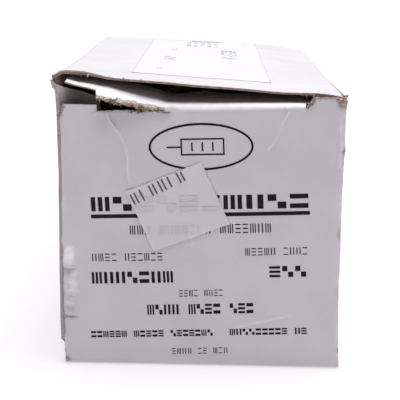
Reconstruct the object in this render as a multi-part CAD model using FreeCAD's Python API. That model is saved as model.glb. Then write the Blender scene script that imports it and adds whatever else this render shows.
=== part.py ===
"""A 3/8-18 NPT pneumatic exhaust muffler lying in its tuck-end carton.

Row frame in millimetres: X across the carton, Y along it with the printed front
lid at -Y, Z up, origin at the centre of the face that the carton stands on.
Each function below makes the pieces of one sub-assembly, and every piece is
written to its own STEP file in parts/.
"""
import FreeCAD, Part
import math
import os

from FreeCAD import Placement, Rotation, Vector

# ---------------------------------------------------------------- carton sizes
CARTON_W = 63.5          # outside width, 2.5 in
CARTON_L = 127.0         # outside length over both lids, 5 in
LEFT_H = 66.5            # the worn sleeve stands higher on its left
RIGHT_H = 64.0
BOARD = 0.8              # board thickness
CREASE_GAP = 0.15        # free board beside a crease
FLAP_GAP = 0.3           # between a lid and the dust flaps behind it
LID_SIDE_CLEARANCE = 0.6
LID_H = 61.0             # height of a lid's tuck crease
TAB_W = 8.0              # lid corner left flat outside each slit
TAB_CORNER = 1.5
SLIT_W = 0.25
TUCK_W = 59.4            # clears both walls and the glue flap
TUCK_DEPTH = 14.0
TUCK_SLOPE = 12.0        # degrees down from the crease
TUCK_CORNER_R = 6.0
SHOULDER_GAP = 0.35      # tuck flap's free edge behind a lid tab
DUST_REACH = 27.0        # from the side wall's crease to the free edge
DUST_FOOT = 4.6          # height where a dust flap starts
DUST_TOP_GAP = 0.6       # under the tuck flap
DUST_SHOULDER_W = 7.0
DUST_SHOULDER_DROP = 1.5
DUST_TOP_SLOPE = math.radians(15)
DUST_FOOT_SLOPE = math.radians(45)
DUST_CORNER_R = 3.0
GLUE_FLAP_W = 14.0
GLUE_FLAP_TAPER = 5.0
LABEL_SIZE = (32.5, 104.0, 0.12)
LABEL_AT = (-2.0, 2.5)
LABEL_TURN = -2.0
STICKER_SIZE = (17.2, 15.8, 0.1)
STICKER_AT = (-6.3, 38.0)
STICKER_TURN = 19.0

# --------------------------------------------------------------- muffler sizes
MUFFLER_L = 116.0        # from the stem's tip to the acorn nut's crown
NPT_MAJOR_R = 8.34       # crest radius at the tip of a 3/8-18 NPT stem
NPT_TAPER = 1.0 / 32.0   # radius per length: 1 in 16 on the diameter
NPT_PITCH = 25.4 / 18.0
NPT_DEPTH = 0.8 * NPT_PITCH
NPT_TURNS = 9
STEM_L = 15.5
STEM_BORE_R = 5.75
HEX_AF = 22.2            # 7/8 in across flats
HEX_L = 10.5
CHAMBER_R = 7.5          # wider bore behind the stem
SHOULDER = (13.5, 17.5, 2.0)     # radii and length of the cone behind the hexagon
SPIGOT_R = 10.0          # the nipple's end, swaged into the cup
CAP_R = 27.0             # both end caps
CAP_RIM_IN_R = 25.7
BASE_DISC_T = 3.0
RIM_L = 8.0
SPIDER_T = 8.0
SPIDER_BOSS_R = 4.5
SPIDER_ARM_W = 1.8
CORE_R = 8.0             # perforated core tube
CORE_WALL = 0.8
CORE_SEAT = 2.0
GASKET_T = 1.0
GASKET_IN_R = 21.0
SHELL_R = 25.0           # perforated outer shell
SHELL_WALL = 0.8
SHELL_L = 69.0
MESH_WALL = 1.0
FELT_R = 11.0
SEAT_CLEARANCE = 0.1
ROD_R = 3.175            # 1/4-20 tie rod
ROD_PITCH = 1.27
ROD_THREAD_DEPTH = 0.6
ROD_HOLE_R = 3.3
CAP_T = 1.4
WASHER_R = 7.1
WASHER_T = 1.6
LOCK_WASHER_R = 6.0
LOCK_WASHER_SPLIT = 1.2
SMALL_AF = 11.1          # 7/16 in across flats, both small nuts
LOCK_NUT_L = 5.5
ACORN_HEX_L = 6.0

# -------------------------------------------------------------- derived places
FRONT = -CARTON_L / 2
LID_W = CARTON_W - 2 * LID_SIDE_CLEARANCE
CREASE_R = BOARD / 2
DUST_Y = FRONT + BOARD + FLAP_GAP + CREASE_R      # dust flap crease
WALL_START = DUST_Y + CREASE_R + CREASE_GAP       # side wall's cut end
SLIT_X = LID_W / 2 - TAB_W
TUCK_HINGE = Vector(0, FRONT + CREASE_R, LID_H - CREASE_R)
MUFFLER_Z = BOARD + CAP_R + 0.05

BASE_START = STEM_L + HEX_L                       # muffler stations along its axis
BASE_IN = BASE_START + BASE_DISC_T
SHELL_START = BASE_IN + GASKET_T
SHELL_END = SHELL_START + SHELL_L
CAP_IN = SHELL_END + GASKET_T
CAP_OUT = CAP_IN + CAP_T
WASHER_END = CAP_OUT + WASHER_T
LOCK_WASHER_END = WASHER_END + WASHER_T
SPIDER_END = BASE_IN - CORE_SEAT

X, Y, Z = Vector(1, 0, 0), Vector(0, 1, 0), Vector(0, 0, 1)


def save(name, shape):
    """Writes one piece as parts/NAME.step after checking that it is sound."""
    if not shape.isValid() or shape.Volume <= 0:
        raise ValueError(name + " isn't a sound solid")
    shape.exportStep(os.path.join("parts", name + ".step"))
    print(f"{name:26s} {len(shape.Solids)} solid(s) {shape.Volume:10.1f} mm3")


# ------------------------------------------------------------- shape helpers
def block(low, high):
    size = [b - a for a, b in zip(low, high)]
    return Part.makeBox(*size, Vector(*low))


def rod(radius, start, end, centre=(0, 0)):
    """A round bar along Z between two heights."""
    return Part.makeCylinder(radius, end - start, Vector(*centre, start), Z)


def tube(outer, inner, start, end):
    return rod(outer, start, end).cut(rod(inner, start - 1, end + 1))


def crease(start, end):
    """The rounded board of a crease, as a bar between two points."""
    along = end - start
    return Part.makeCylinder(CREASE_R, along.Length, start, along)


def sheet(outline, normal):
    """A flat piece of board from its outline, grown along normal by its thickness."""
    face = Part.Face(Part.makePolygon(outline + outline[:1]))
    return face.extrude(normal * BOARD)


def turned(profile):
    """A body of revolution about Z from (radius, height) points."""
    points = [Vector(r, 0, z) for r, z in profile]
    return Part.Face(Part.makePolygon(points + points[:1])).revolve(Vector(), Z, 360)


def hexagon(across_flats, start, end, chamfer):
    """A hexagonal bar along Z with both ends' corners turned off."""
    corner = across_flats / math.sqrt(3)
    points = [Vector(corner * math.cos(a), corner * math.sin(a), start)
              for a in (math.radians(60 * i) for i in range(7))]
    bar = Part.Face(Part.makePolygon(points)).extrude(Z * (end - start))
    flat = across_flats / 2
    bulge = corner - flat
    rise = chamfer * bulge
    return bar.common(turned([
        (0, start), (flat, start), (corner, start + rise),
        (corner, end - rise), (flat, end), (0, end)]))


def fillet(shape, radius, wanted):
    """Rounds the edges for which wanted(edge) holds."""
    edges = [e for e in shape.Edges if wanted(e)]
    return shape.makeFillet(radius, edges) if edges else shape


def circle_at(radius, height):
    """Picks the round edge of that radius about Z at that height."""
    def wanted(edge):
        curve = edge.Curve
        return (isinstance(curve, Part.Circle)
                and abs(curve.Radius - radius) < 1e-3
                and abs(curve.Center.z - height) < 1e-3)
    return wanted


def upright_edge(points, along):
    """Picks the straight edges along one axis that pass through given corners."""
    def wanted(edge):
        if not isinstance(edge.Curve, Part.Line):
            return False
        if abs(abs(edge.tangentAt(edge.FirstParameter).dot(along)) - 1) > 1e-6:
            return False
        middle = edge.CenterOfMass
        flat = middle - along * middle.dot(along)
        return any((flat - (p - along * p.dot(along))).Length < 1e-3 for p in points)
    return wanted


def turned_to_rear(shape):
    """The same piece for the other end of the carton."""
    return shape.mirror(Vector(), Y)


# ------------------------------------------------------------------- carton
def underside(x):
    """Height of the sloping top panel's inner face at a place across the carton."""
    return RIGHT_H - BOARD + (LEFT_H - RIGHT_H) * (0.5 - x / CARTON_W)


def across(corners, start, end):
    """A panel with the same (x, z) section all along the carton."""
    points = [Vector(x, start, z) for x, z in corners]
    return Part.Face(Part.makePolygon(points + points[:1])).extrude(Y * (end - start))


def sleeve_panels():
    """Four panels of the sleeve, and the flap that glues the top one to the right wall."""
    out_x, in_x = CARTON_W / 2, CARTON_W / 2 - BOARD
    panel_y = FRONT + BOARD + CREASE_GAP
    bottom = block((-out_x, panel_y, 0), (out_x, -panel_y, BOARD))
    top = across([(-out_x, underside(-out_x)), (out_x, underside(out_x)),
                  (out_x, RIGHT_H), (-out_x, LEFT_H)], FRONT, -FRONT)
    left = across([(-out_x, BOARD), (-in_x, BOARD), (-in_x, underside(-in_x)),
                   (-out_x, underside(-out_x))], WALL_START, -WALL_START)
    right = across([(in_x, BOARD), (out_x, BOARD), (out_x, underside(out_x)),
                    (in_x, underside(in_x))], WALL_START, -WALL_START)
    flap_top = underside(in_x)
    narrow = WALL_START + GLUE_FLAP_TAPER
    glue = sheet([Vector(in_x, WALL_START, flap_top), Vector(in_x, -WALL_START, flap_top),
                  Vector(in_x, -narrow, flap_top - GLUE_FLAP_W),
                  Vector(in_x, narrow, flap_top - GLUE_FLAP_W)], -X)
    return {"carton_bottom_panel": bottom, "carton_top_panel": top, "carton_left_wall": left,
            "carton_right_wall": right, "carton_glue_flap": glue}


def front_lid():
    """End panel with a crease at its foot and a flat tab outside each slit."""
    half, neck = LID_W / 2, TUCK_HINGE.z - CREASE_R - CREASE_GAP
    right = [(half, CREASE_R), (half, LID_H - TAB_CORNER), (half - TAB_CORNER, LID_H),
             (SLIT_X + SLIT_W, LID_H), (SLIT_X + SLIT_W, neck)]
    outline = right + [(-x, z) for x, z in reversed(right)]
    panel = sheet([Vector(x, FRONT, z) for x, z in outline], Y)
    foot = crease(Vector(-half, FRONT + CREASE_R, CREASE_R), Vector(half, FRONT + CREASE_R, CREASE_R))
    return panel.fuse(foot).removeSplitter()


def front_tuck_flap():
    """Flap that folds in from the lid's top crease, wider than the crease."""
    half = TUCK_W / 2
    hinge_y, hinge_z = TUCK_HINGE.y, TUCK_HINGE.z
    shoulder_y = hinge_y + CREASE_R + SHOULDER_GAP
    tip_y = hinge_y + TUCK_DEPTH
    right = [(SLIT_X, hinge_y), (SLIT_X, shoulder_y), (half, shoulder_y), (half, tip_y)]
    outline = right + [(-x, y) for x, y in reversed(right)]
    flap = sheet([Vector(x, y, hinge_z - CREASE_R) for x, y in outline], Z)
    corners = [Vector(side * half, tip_y, 0) for side in (-1, 1)]
    flap = fillet(flap, TUCK_CORNER_R, upright_edge(corners, Z))
    fold = crease(Vector(-SLIT_X, hinge_y, hinge_z), Vector(SLIT_X, hinge_y, hinge_z))
    whole = flap.fuse(fold).removeSplitter()
    whole.rotate(TUCK_HINGE, X, -TUCK_SLOPE)
    return whole


def front_dust_flap_left():
    """Side flap behind the lid, cut back at its foot and under the tuck flap."""
    x0 = -CARTON_W / 2 + CREASE_R
    tuck_fall = (DUST_Y + CREASE_R - TUCK_HINGE.y) * math.tan(math.radians(TUCK_SLOPE))
    top = TUCK_HINGE.z - CREASE_R - tuck_fall - DUST_TOP_GAP
    step_x = x0 + DUST_SHOULDER_W
    tip_x = x0 + DUST_REACH
    tip_top = top - DUST_SHOULDER_DROP - (DUST_REACH - DUST_SHOULDER_W) * math.tan(DUST_TOP_SLOPE)
    tip_foot = DUST_FOOT + DUST_REACH * math.tan(DUST_FOOT_SLOPE)
    outline = [(x0, DUST_FOOT), (x0, top), (step_x, top), (step_x, top - DUST_SHOULDER_DROP),
               (tip_x, tip_top), (tip_x, tip_foot)]
    flap = sheet([Vector(x, DUST_Y - CREASE_R, z) for x, z in outline], Y)
    corners = [Vector(tip_x, 0, tip_top), Vector(tip_x, 0, tip_foot)]
    flap = fillet(flap, DUST_CORNER_R, upright_edge(corners, Y))
    fold = crease(Vector(x0, DUST_Y, DUST_FOOT), Vector(x0, DUST_Y, top))
    return flap.fuse(fold).removeSplitter()


def carton_ends():
    """Lid, tuck flap and two dust flaps at each end of the carton."""
    left = front_dust_flap_left()
    front = {"lid": front_lid(), "tuck_flap": front_tuck_flap(),
             "dust_flap_left": left, "dust_flap_right": left.mirror(Vector(), X)}
    pieces = {"front_" + name: shape for name, shape in front.items()}
    pieces.update({"rear_" + name: turned_to_rear(shape) for name, shape in front.items()})
    return pieces


def paper_labels():
    """The label stuck on the top panel and the small sticker on the front lid."""
    w, l, t = LABEL_SIZE
    label = block((-w / 2, -l / 2, 0), (w / 2, l / 2, t))
    lean = math.degrees(math.atan((LEFT_H - RIGHT_H) / CARTON_W))
    x, y = LABEL_AT
    label.Placement = Placement(Vector(x, y, underside(x) + BOARD),
                                Rotation(Y, lean).multiply(Rotation(Z, LABEL_TURN)))
    w, h, t = STICKER_SIZE
    sticker = block((-w / 2, -t, -h / 2), (w / 2, 0, h / 2))
    x, z = STICKER_AT
    sticker.Placement = Placement(Vector(x, FRONT, z), Rotation(Y, -STICKER_TURN))
    return {"shipping_label": label, "number_sticker": sticker}


# ------------------------------------------------------------------ muffler
def ring_thread(radius, taper, pitch, depth, start, turns):
    """(radius, height) points of a row of V grooves, from the start upwards."""
    crest = pitch / 8
    points = []
    for i in range(turns):
        z = start + i * pitch
        points += [(radius + taper * (z + crest - start), z + crest),
                   (radius + taper * (z + pitch / 2 - start) - depth, z + pitch / 2),
                   (radius + taper * (z + pitch - crest - start), z + pitch - crest)]
    return points


def inlet_nipple():
    """Threaded stem, hexagon, shoulder and spigot, with the rod's spider in its bore."""
    lead = 0.8
    thread = ring_thread(NPT_MAJOR_R, NPT_TAPER, NPT_PITCH, NPT_DEPTH, lead, NPT_TURNS)
    relief_r = NPT_MAJOR_R - 0.4
    stem = turned([(0, 0), (NPT_MAJOR_R - NPT_DEPTH, 0), (NPT_MAJOR_R, lead)] + thread
                  + [(relief_r, STEM_L - 1), (relief_r, STEM_L), (0, STEM_L)])
    small, large, length = SHOULDER
    shoulder = turned([(0, BASE_START - length), (small, BASE_START - length),
                       (large, BASE_START), (0, BASE_START)])
    spigot = rod(SPIGOT_R - SEAT_CLEARANCE / 2, BASE_START - 1, BASE_IN)
    body = stem.fuse([hexagon(HEX_AF, STEM_L, BASE_START, 0.9), shoulder, spigot])
    body = body.cut(rod(STEM_BORE_R, -1, STEM_L + 1))
    body = body.cut(rod(CHAMBER_R, STEM_L + 1, BASE_IN + 1))
    body = body.cut(rod(CORE_R + SEAT_CLEARANCE / 2, SPIDER_END, BASE_IN + 1))
    return body.fuse(spider()).removeSplitter()


def base_cup():
    """Cupped disc that the shell sits in."""
    rim_end = BASE_IN + RIM_L
    cup = turned([(SPIGOT_R, BASE_START), (CAP_R, BASE_START), (CAP_R, rim_end),
                  (CAP_RIM_IN_R, rim_end), (CAP_RIM_IN_R, BASE_IN), (SPIGOT_R, BASE_IN)])
    return fillet(cup, 1.5, circle_at(CAP_R, BASE_START))


def spider():
    """Three arms and a drilled boss that hold the tie rod in the base's bore."""
    start = SPIDER_END - SPIDER_T
    boss = rod(SPIDER_BOSS_R, start, SPIDER_END)
    arm = block((0, -SPIDER_ARM_W / 2, start), (CHAMBER_R + 1, SPIDER_ARM_W / 2, SPIDER_END))
    arms = []
    for i in range(3):
        turned_arm = arm.copy()
        turned_arm.rotate(Vector(), Z, 120 * i)
        arms.append(turned_arm)
    whole = boss.fuse(arms)
    return whole.cut(rod(ROD_HOLE_R, start - 1, SPIDER_END + 1))


def perforated(shape, radius, wall, hole_r, columns, rows, start, pitch):
    """Drills staggered rows of radial holes through a tube's wall."""
    drills = []
    for row in range(rows):
        for column in range(columns):
            angle = 2 * math.pi * (column + 0.5 * (row % 2)) / columns
            out = Vector(math.cos(angle), math.sin(angle), 0)
            foot = out * (radius - wall - 1) + Z * (start + row * pitch)
            drills.append(Part.makeCylinder(hole_r, wall + 2, foot, out))
    return shape.cut(Part.makeCompound(drills))


def core_tube():
    start, end = SPIDER_END, CAP_IN - 0.1
    wall = tube(CORE_R, CORE_R - CORE_WALL, start, end)
    return perforated(wall, CORE_R, CORE_WALL, 1.5, 8, 11, BASE_IN + 5, 6.0)


def perforated_shell():
    wall = tube(SHELL_R, SHELL_R - SHELL_WALL, SHELL_START, SHELL_END)
    return perforated(wall, SHELL_R, SHELL_WALL, 1.6, 28, 10, SHELL_START + 10.5, 5.3)


def packing():
    """Felt over the core, the fibre pack, and the wire mesh that holds it."""
    start, end = BASE_IN + 0.1, CAP_IN - 0.1
    gap = SEAT_CLEARANCE
    mesh_out = SHELL_R - SHELL_WALL - gap
    return {
        "felt_sleeve": tube(FELT_R, CORE_R + gap, start, end),
        "fibre_pack": tube(GASKET_IN_R - gap, FELT_R + gap, start, end).fuse(
            tube(mesh_out - MESH_WALL - gap, GASKET_IN_R - gap, SHELL_START + gap, SHELL_END - gap)
        ).removeSplitter(),
        "mesh_sleeve": tube(mesh_out, mesh_out - MESH_WALL, SHELL_START + gap, SHELL_END - gap),
    }


def gaskets():
    outer = CAP_RIM_IN_R - 2 * SEAT_CLEARANCE
    return {"base_gasket": tube(outer, GASKET_IN_R, BASE_IN, SHELL_START),
            "cap_gasket": tube(outer, GASKET_IN_R, SHELL_END, CAP_IN)}


def end_cap():
    """Pressed cap with a rounded rim, a shallow raised ring and the rod's hole."""
    rim = CAP_OUT - RIM_L
    ring_r, ring_w, ring_t = 17.0, 3.0, 0.8
    cap = turned([(ROD_HOLE_R, CAP_IN), (CAP_RIM_IN_R, CAP_IN), (CAP_RIM_IN_R, rim), (CAP_R, rim),
                  (CAP_R, CAP_OUT), (ring_r + ring_w, CAP_OUT), (ring_r + ring_w - ring_t, CAP_OUT + ring_t),
                  (ring_r - ring_w + ring_t, CAP_OUT + ring_t), (ring_r - ring_w, CAP_OUT),
                  (ROD_HOLE_R, CAP_OUT)])
    return fillet(cap, 1.2, circle_at(CAP_R, CAP_OUT))


def tie_rod():
    """Stud threaded at both ends, from the spider to inside the acorn nut."""
    start, end = SPIDER_END - SPIDER_T - 1.0, MUFFLER_L - 4.5
    turns_in, turns_out = 14, 11
    lower = ring_thread(ROD_R, 0, ROD_PITCH, ROD_THREAD_DEPTH, start + 0.5, turns_in)
    upper_start = end - 0.5 - turns_out * ROD_PITCH
    upper = ring_thread(ROD_R, 0, ROD_PITCH, ROD_THREAD_DEPTH, upper_start, turns_out)
    tip_r = ROD_R - ROD_THREAD_DEPTH
    return turned([(0, start), (tip_r, start), (ROD_R, start + 0.5)] + lower + upper
                  + [(ROD_R, end - 0.5), (tip_r, end), (0, end)])


def fasteners():
    lock_nut = hexagon(SMALL_AF, SPIDER_END, SPIDER_END + LOCK_NUT_L, 0.8)
    lock_nut = lock_nut.cut(rod(ROD_HOLE_R, SPIDER_END - 1, SPIDER_END + LOCK_NUT_L + 1))
    flat = tube(WASHER_R, ROD_HOLE_R, CAP_OUT, WASHER_END)
    spring = tube(LOCK_WASHER_R, ROD_HOLE_R, WASHER_END, LOCK_WASHER_END)
    half = LOCK_WASHER_SPLIT / 2
    spring = spring.cut(block((0, -half, WASHER_END - 1), (LOCK_WASHER_R + 1, half, LOCK_WASHER_END + 1)))
    return {"rod_lock_nut": lock_nut, "flat_washer": flat, "lock_washer": spring,
            "acorn_nut": acorn_nut()}


def acorn_nut():
    """Hexagon nut closed by a dome, drilled blind for the rod."""
    hex_end = LOCK_WASHER_END + ACORN_HEX_L
    dome_r = SMALL_AF / 2 - 0.3
    dome_foot = MUFFLER_L - dome_r
    dome = Part.makeSphere(dome_r, Vector(0, 0, dome_foot)).common(
        rod(dome_r + 1, dome_foot, MUFFLER_L + 1))
    body = hexagon(SMALL_AF, LOCK_WASHER_END, hex_end, 0.9).fuse([dome, rod(dome_r, hex_end - 1, dome_foot)])
    return body.removeSplitter().cut(rod(ROD_HOLE_R, LOCK_WASHER_END - 1, MUFFLER_L - 4))


def muffler():
    """Every muffler piece, turned to lie along +Y with its stem towards the front lid."""
    pieces = {"inlet_nipple": inlet_nipple(), "base_cup": base_cup(), "core_tube": core_tube(),
              "perforated_shell": perforated_shell(), "end_cap": end_cap(), "tie_rod": tie_rod()}
    for group in (packing(), gaskets(), fasteners()):
        pieces.update(group)
    lying = Placement(Vector(0, -MUFFLER_L / 2, MUFFLER_Z), Rotation(X, -90))
    laid = {}
    for name, shape in pieces.items():
        moved = shape.copy()
        moved.Placement = lying.multiply(moved.Placement)
        laid[name] = moved
    return laid


def main():
    os.makedirs("parts", exist_ok=True)
    pieces = {}
    for group in (sleeve_panels(), carton_ends(), paper_labels(), muffler()):
        pieces.update(group)
    for name, shape in pieces.items():
        save(name, shape)


main()
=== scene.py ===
"""Looks of the boxed pneumatic exhaust muffler: a worn white carton and what lies in it.

Shapes are worked out in millimetres in the part's own frame (X across, Y along with the
printed front lid at -Y, Z up) and become metres in one place, when a mesh is made.
"""
import math

import bmesh
import bpy
import numpy as np
from mathutils import Euler, Matrix, Vector, noise


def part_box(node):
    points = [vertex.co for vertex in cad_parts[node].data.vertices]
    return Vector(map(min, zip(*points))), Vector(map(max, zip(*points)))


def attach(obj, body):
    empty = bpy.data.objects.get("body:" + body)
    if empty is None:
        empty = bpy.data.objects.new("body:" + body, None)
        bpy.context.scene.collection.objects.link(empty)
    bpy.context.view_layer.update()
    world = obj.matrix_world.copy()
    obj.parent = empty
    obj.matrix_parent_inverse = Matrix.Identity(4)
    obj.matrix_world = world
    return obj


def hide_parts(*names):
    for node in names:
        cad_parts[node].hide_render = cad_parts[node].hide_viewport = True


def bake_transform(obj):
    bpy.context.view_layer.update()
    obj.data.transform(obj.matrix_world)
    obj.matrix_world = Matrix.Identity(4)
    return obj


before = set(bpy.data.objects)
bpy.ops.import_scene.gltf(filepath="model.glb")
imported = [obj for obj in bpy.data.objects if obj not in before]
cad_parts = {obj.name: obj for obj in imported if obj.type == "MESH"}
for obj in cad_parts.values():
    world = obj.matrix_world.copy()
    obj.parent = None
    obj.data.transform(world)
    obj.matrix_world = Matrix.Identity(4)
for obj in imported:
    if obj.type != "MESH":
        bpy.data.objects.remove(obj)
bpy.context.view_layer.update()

MM = 0.001


def corners(node):
    """Lowest and highest corner of a CAD node in millimetres."""
    low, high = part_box(node)
    return np.array(low) / MM, np.array(high) / MM


# ------------------------------------------------------------------ driving places
BASE_LOW, BASE_HIGH = corners("carton_bottom_panel")
TOP_LOW, TOP_HIGH = corners("carton_top_panel")
LID_HIGH = corners("front_lid")[1]
TUCK_HIGH = corners("front_tuck_flap")[1]
DUST_LOW, DUST_HIGH = corners("front_dust_flap_left")
GLUE_LOW, GLUE_HIGH = corners("carton_glue_flap")

HALF_W = BASE_HIGH[0]
BOARD = BASE_HIGH[2] - BASE_LOW[2]
FRONT = TOP_LOW[1]
HALF_L = -FRONT
BASE_END = BASE_HIGH[1]
LEFT_H = TOP_HIGH[2]
LID_H = LID_HIGH[2]
LID_HALF = LID_HIGH[0] + 0.25
TUCK_HALF = TUCK_HIGH[0]
TUCK_REACH = TUCK_HIGH[1] - FRONT
DUST_FACE = DUST_LOW[1]
DUST_TIP = DUST_HIGH[0]
DUST_FOOT = DUST_LOW[2] + 0.6
WALL_END = HALF_L - 2.6

# ------------------------------------------------------------------ the worn shape
LEAN = 1.6               # the top has racked this far to the left
NOMINAL_H = 65.0
SWELL = 0.55             # how far the walls' middles bulge
WALL_RETREAT = 0.6       # how far the walls' front edges are worn back
CRUSHED = (2.4, 3.2, 1.5)        # how far the back right corner is pushed in on X, Y and Z
CORNER_H = 65.5          # height of that corner
DUST_SETBACK = 6.5       # how far the front left dust flap has fallen back behind the notch
FRONT_SLOPE = (0.052, 64.7)      # slope and middle of the top panel near the front
BACK_RISE = (0.02, 66.2)         # and at its back edge
# Places (across, height) along the front end, before the carton leans.
TOP_EDGE = [(-31.0, 67.1), (-27.0, 67.1), (-24.2, 66.65), (-21.9, 66.05), (-19.7, 65.6), (-13.2, 65.35),
            (-7.5, 65.05), (-0.6, 64.5),
            (7.8, 64.1), (17.2, 63.35), (27.4, 63.25), (31.4, 62.55)]
CREASE_TOP = [(-23, 60.05), (-0.4, 60.45), (10.4, 60.75), (21.4, 61)]
CREASE_FOOT = [(-23, 58.7), (-0.4, 58.8), (10.4, 59.3), (21.4, 59.8)]
LID_TEAR = [(-22.8, 58.6), (-18.0, 58.95), (-13.5, 58.85), (-9.0, 58.95)]
FLAP_LINE = [(-31.0, 65.05), (-29.6, 64.7), (-26.5, 63.8), (-22.9, 62.95), (-20.0, 62.55), (-16.5, 61.8),
             (-12.3, 60.95), (-8.0, 60.55)]
LEFT_FLARE = [(0, -0.5), (3.7, -0.4), (4.9, 1.25), (10, 1.3), (25, 1.0), (45, 0.45), (58, 0.6), (62.5, 0.8),
              (64.5, 2.3), (65.5, 2.0)]
RIGHT_FLARE = [(0, -0.25), (8, -0.7), (18, -0.85), (24, -0.65), (40, -0.5), (50, -0.25), (60, -0.1),
               (63, 0.3)]
LID_LEFT_EDGE = [(0, -0.1), (4, -0.25), (14, -0.25), (22, 0.05), (27, -0.35), (40, 0.15), (56, 0.3),
                 (60, 0.1)]
LID_RIGHT_EDGE = [(0, -0.1), (5, -0.3), (10, -0.45), (18, -0.55), (24, -0.3), (40, -0.2), (50, 0.1),
                  (57, 0.2), (60, 0.3), (62.5, 0.7)]
PROUD = 0.6              # how far the lid's top stands out of the sleeve
SPRUNG = 2.5             # and how much further the tuck flap's torn corner has slipped out
SLIT = 22.9              # slits at both ends of the tuck crease
FOLD_R = 1.0             # outer radius of the crease at a lid's foot
TUCK_FOLD_R = 1.25       # and of the one at its top
PRINT_SLOPE = 0.0384     # the blank was printed 2.2 degrees out of square
SEED_SLEEVE, SEED_LID, SEED_TUCK, SEED_DUST, SEED_PAPER = 3.7, 11.3, 17.9, 23.1, 31.4


# ------------------------------------------------------------------ numeric helpers
def bumps(a, b, scale, seed):
    """Smooth noise between about -1 and 1 over two arrays of coordinates."""
    a, b = np.broadcast_arrays(a, b)
    flat = [noise.noise(Vector((p / scale, q / scale, seed)))
            for p, q in zip(np.ravel(a), np.ravel(b))]
    return np.array(flat).reshape(a.shape)


def step_up(value, start, end):
    """0 before start, 1 after end, smooth between."""
    t = np.clip((value - start) / (end - start), 0, 1)
    return t * t * (3 - 2 * t)


def hill(value, centre, width, power=2):
    """1 at the centre, falling off on both sides; a higher power has a flatter top."""
    return np.exp(-((value - centre) / width) ** power)


def fade(distance, length):
    """1 at no distance, dying away over the given length."""
    return np.exp(-distance / length)


def stops(values, step):
    """Grid lines through every given value, no further apart than step."""
    line = [values[0]]
    for low, high in zip(values, values[1:]):
        count = max(1, math.ceil((high - low) / step))
        line += [low + (high - low) * i / count for i in range(1, count + 1)]
    return np.array(line)


def to_path(x, z, points):
    """Distance from each (x, z) to a path of straight runs."""
    best = np.full(np.shape(x), 1e9)
    for (ax, az), (bx, bz) in zip(points, points[1:]):
        length2 = (bx - ax) ** 2 + (bz - az) ** 2
        t = np.clip(((x - ax) * (bx - ax) + (z - az) * (bz - az)) / length2, 0, 1)
        best = np.minimum(best, np.hypot(x - ax - t * (bx - ax), z - az - t * (bz - az)))
    return best


def folded(s, lead, radius):
    """A path that runs straight for lead, turns a right angle and runs on: (along, across)."""
    turn = np.clip((s - lead) / radius, 0, math.pi / 2)
    after = np.maximum(s - lead - radius * math.pi / 2, 0)
    along = np.minimum(s, lead) + radius * np.sin(turn)
    return along, radius * (1 - np.cos(turn)) + after


def along_path(x, path):
    """Height of a path of (across, height) points at x."""
    return np.interp(x, [p[0] for p in path], [p[1] for p in path])


def eased(x, path, soft=1.0):
    """The same path with its corners rounded."""
    return (along_path(x - soft, path) + along_path(x, path) + along_path(x + soft, path)) / 3


def stack(x, y, z):
    x, y, z = np.broadcast_arrays(x, y, z)
    return np.stack([x, y, z], axis=-1).astype(float)


def leaning(x, z):
    """The sideways place of a point of the racked carton."""
    return x - LEAN * z / LEFT_H


# ------------------------------------------------------------------ materials
class Look:
    """The node tree of one material, with its procedural detail built by short calls."""

    def __init__(self, mat):
        self.nodes = mat.node_tree.nodes
        self.links = mat.node_tree.links
        self.shader = self.nodes["Principled BSDF"]

    def paint(self, key, source):
        self.links.new(source, self.shader.inputs[key])

    def noise(self, scale, detail, stretch=(1, 1, 1)):
        """Noise over the object's own coordinates in millimetres, scale in lumps per millimetre."""
        coordinates = self.nodes.new("ShaderNodeTexCoord")
        mapping = self.nodes.new("ShaderNodeMapping")
        mapping.inputs["Scale"].default_value = [f / MM for f in stretch]
        self.links.new(coordinates.outputs["Object"], mapping.inputs["Vector"])
        texture = self.nodes.new("ShaderNodeTexNoise")
        texture.inputs["Scale"].default_value = scale
        texture.inputs["Detail"].default_value = detail
        self.links.new(mapping.outputs["Vector"], texture.inputs["Vector"])
        return texture.outputs["Fac"]

    def mark(self, name):
        """A named value stored at the mesh's vertices."""
        node = self.nodes.new("ShaderNodeAttribute")
        node.attribute_name = name
        return node.outputs["Fac"]

    def ramp(self, source, *points):
        """Colour ramp through (place, colour) points; a single number is a grey."""
        node = self.nodes.new("ShaderNodeValToRGB")
        elements = node.color_ramp.elements
        while len(elements) < len(points):
            elements.new(0.5)
        for element, (place, colour) in zip(elements, points):
            element.position = place
            element.color = (*colour, 1) if isinstance(colour, tuple) else (colour, colour, colour, 1)
        self.links.new(source, node.inputs["Fac"])
        return node.outputs["Color"]

    def bump(self, source, strength, distance):
        node = self.nodes.new("ShaderNodeBump")
        node.inputs["Strength"].default_value = strength
        node.inputs["Distance"].default_value = distance * MM
        self.links.new(source, node.inputs["Height"])
        self.paint("Normal", node.outputs["Normal"])

    def mixed(self, factor, first, second):
        """Colour that goes from first to second; each is a colour or a socket."""
        node = self.nodes.new("ShaderNodeMix")
        node.data_type = "RGBA"
        self.links.new(factor, node.inputs["Factor"])
        for socket, value in (("A", first), ("B", second)):
            target = [i for i in node.inputs if i.name == socket and i.type == "RGBA"][0]
            if isinstance(value, tuple):
                target.default_value = (*value, 1)
            else:
                self.links.new(value, target)
        return [o for o in node.outputs if o.type == "RGBA"][0]

    def computed(self, operation, first, second):
        node = self.nodes.new("ShaderNodeMath")
        node.operation = operation
        for slot, value in enumerate((first, second)):
            if isinstance(value, (int, float)):
                node.inputs[slot].default_value = value
            else:
                self.links.new(value, node.inputs[slot])
        return node.outputs[0]


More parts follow.
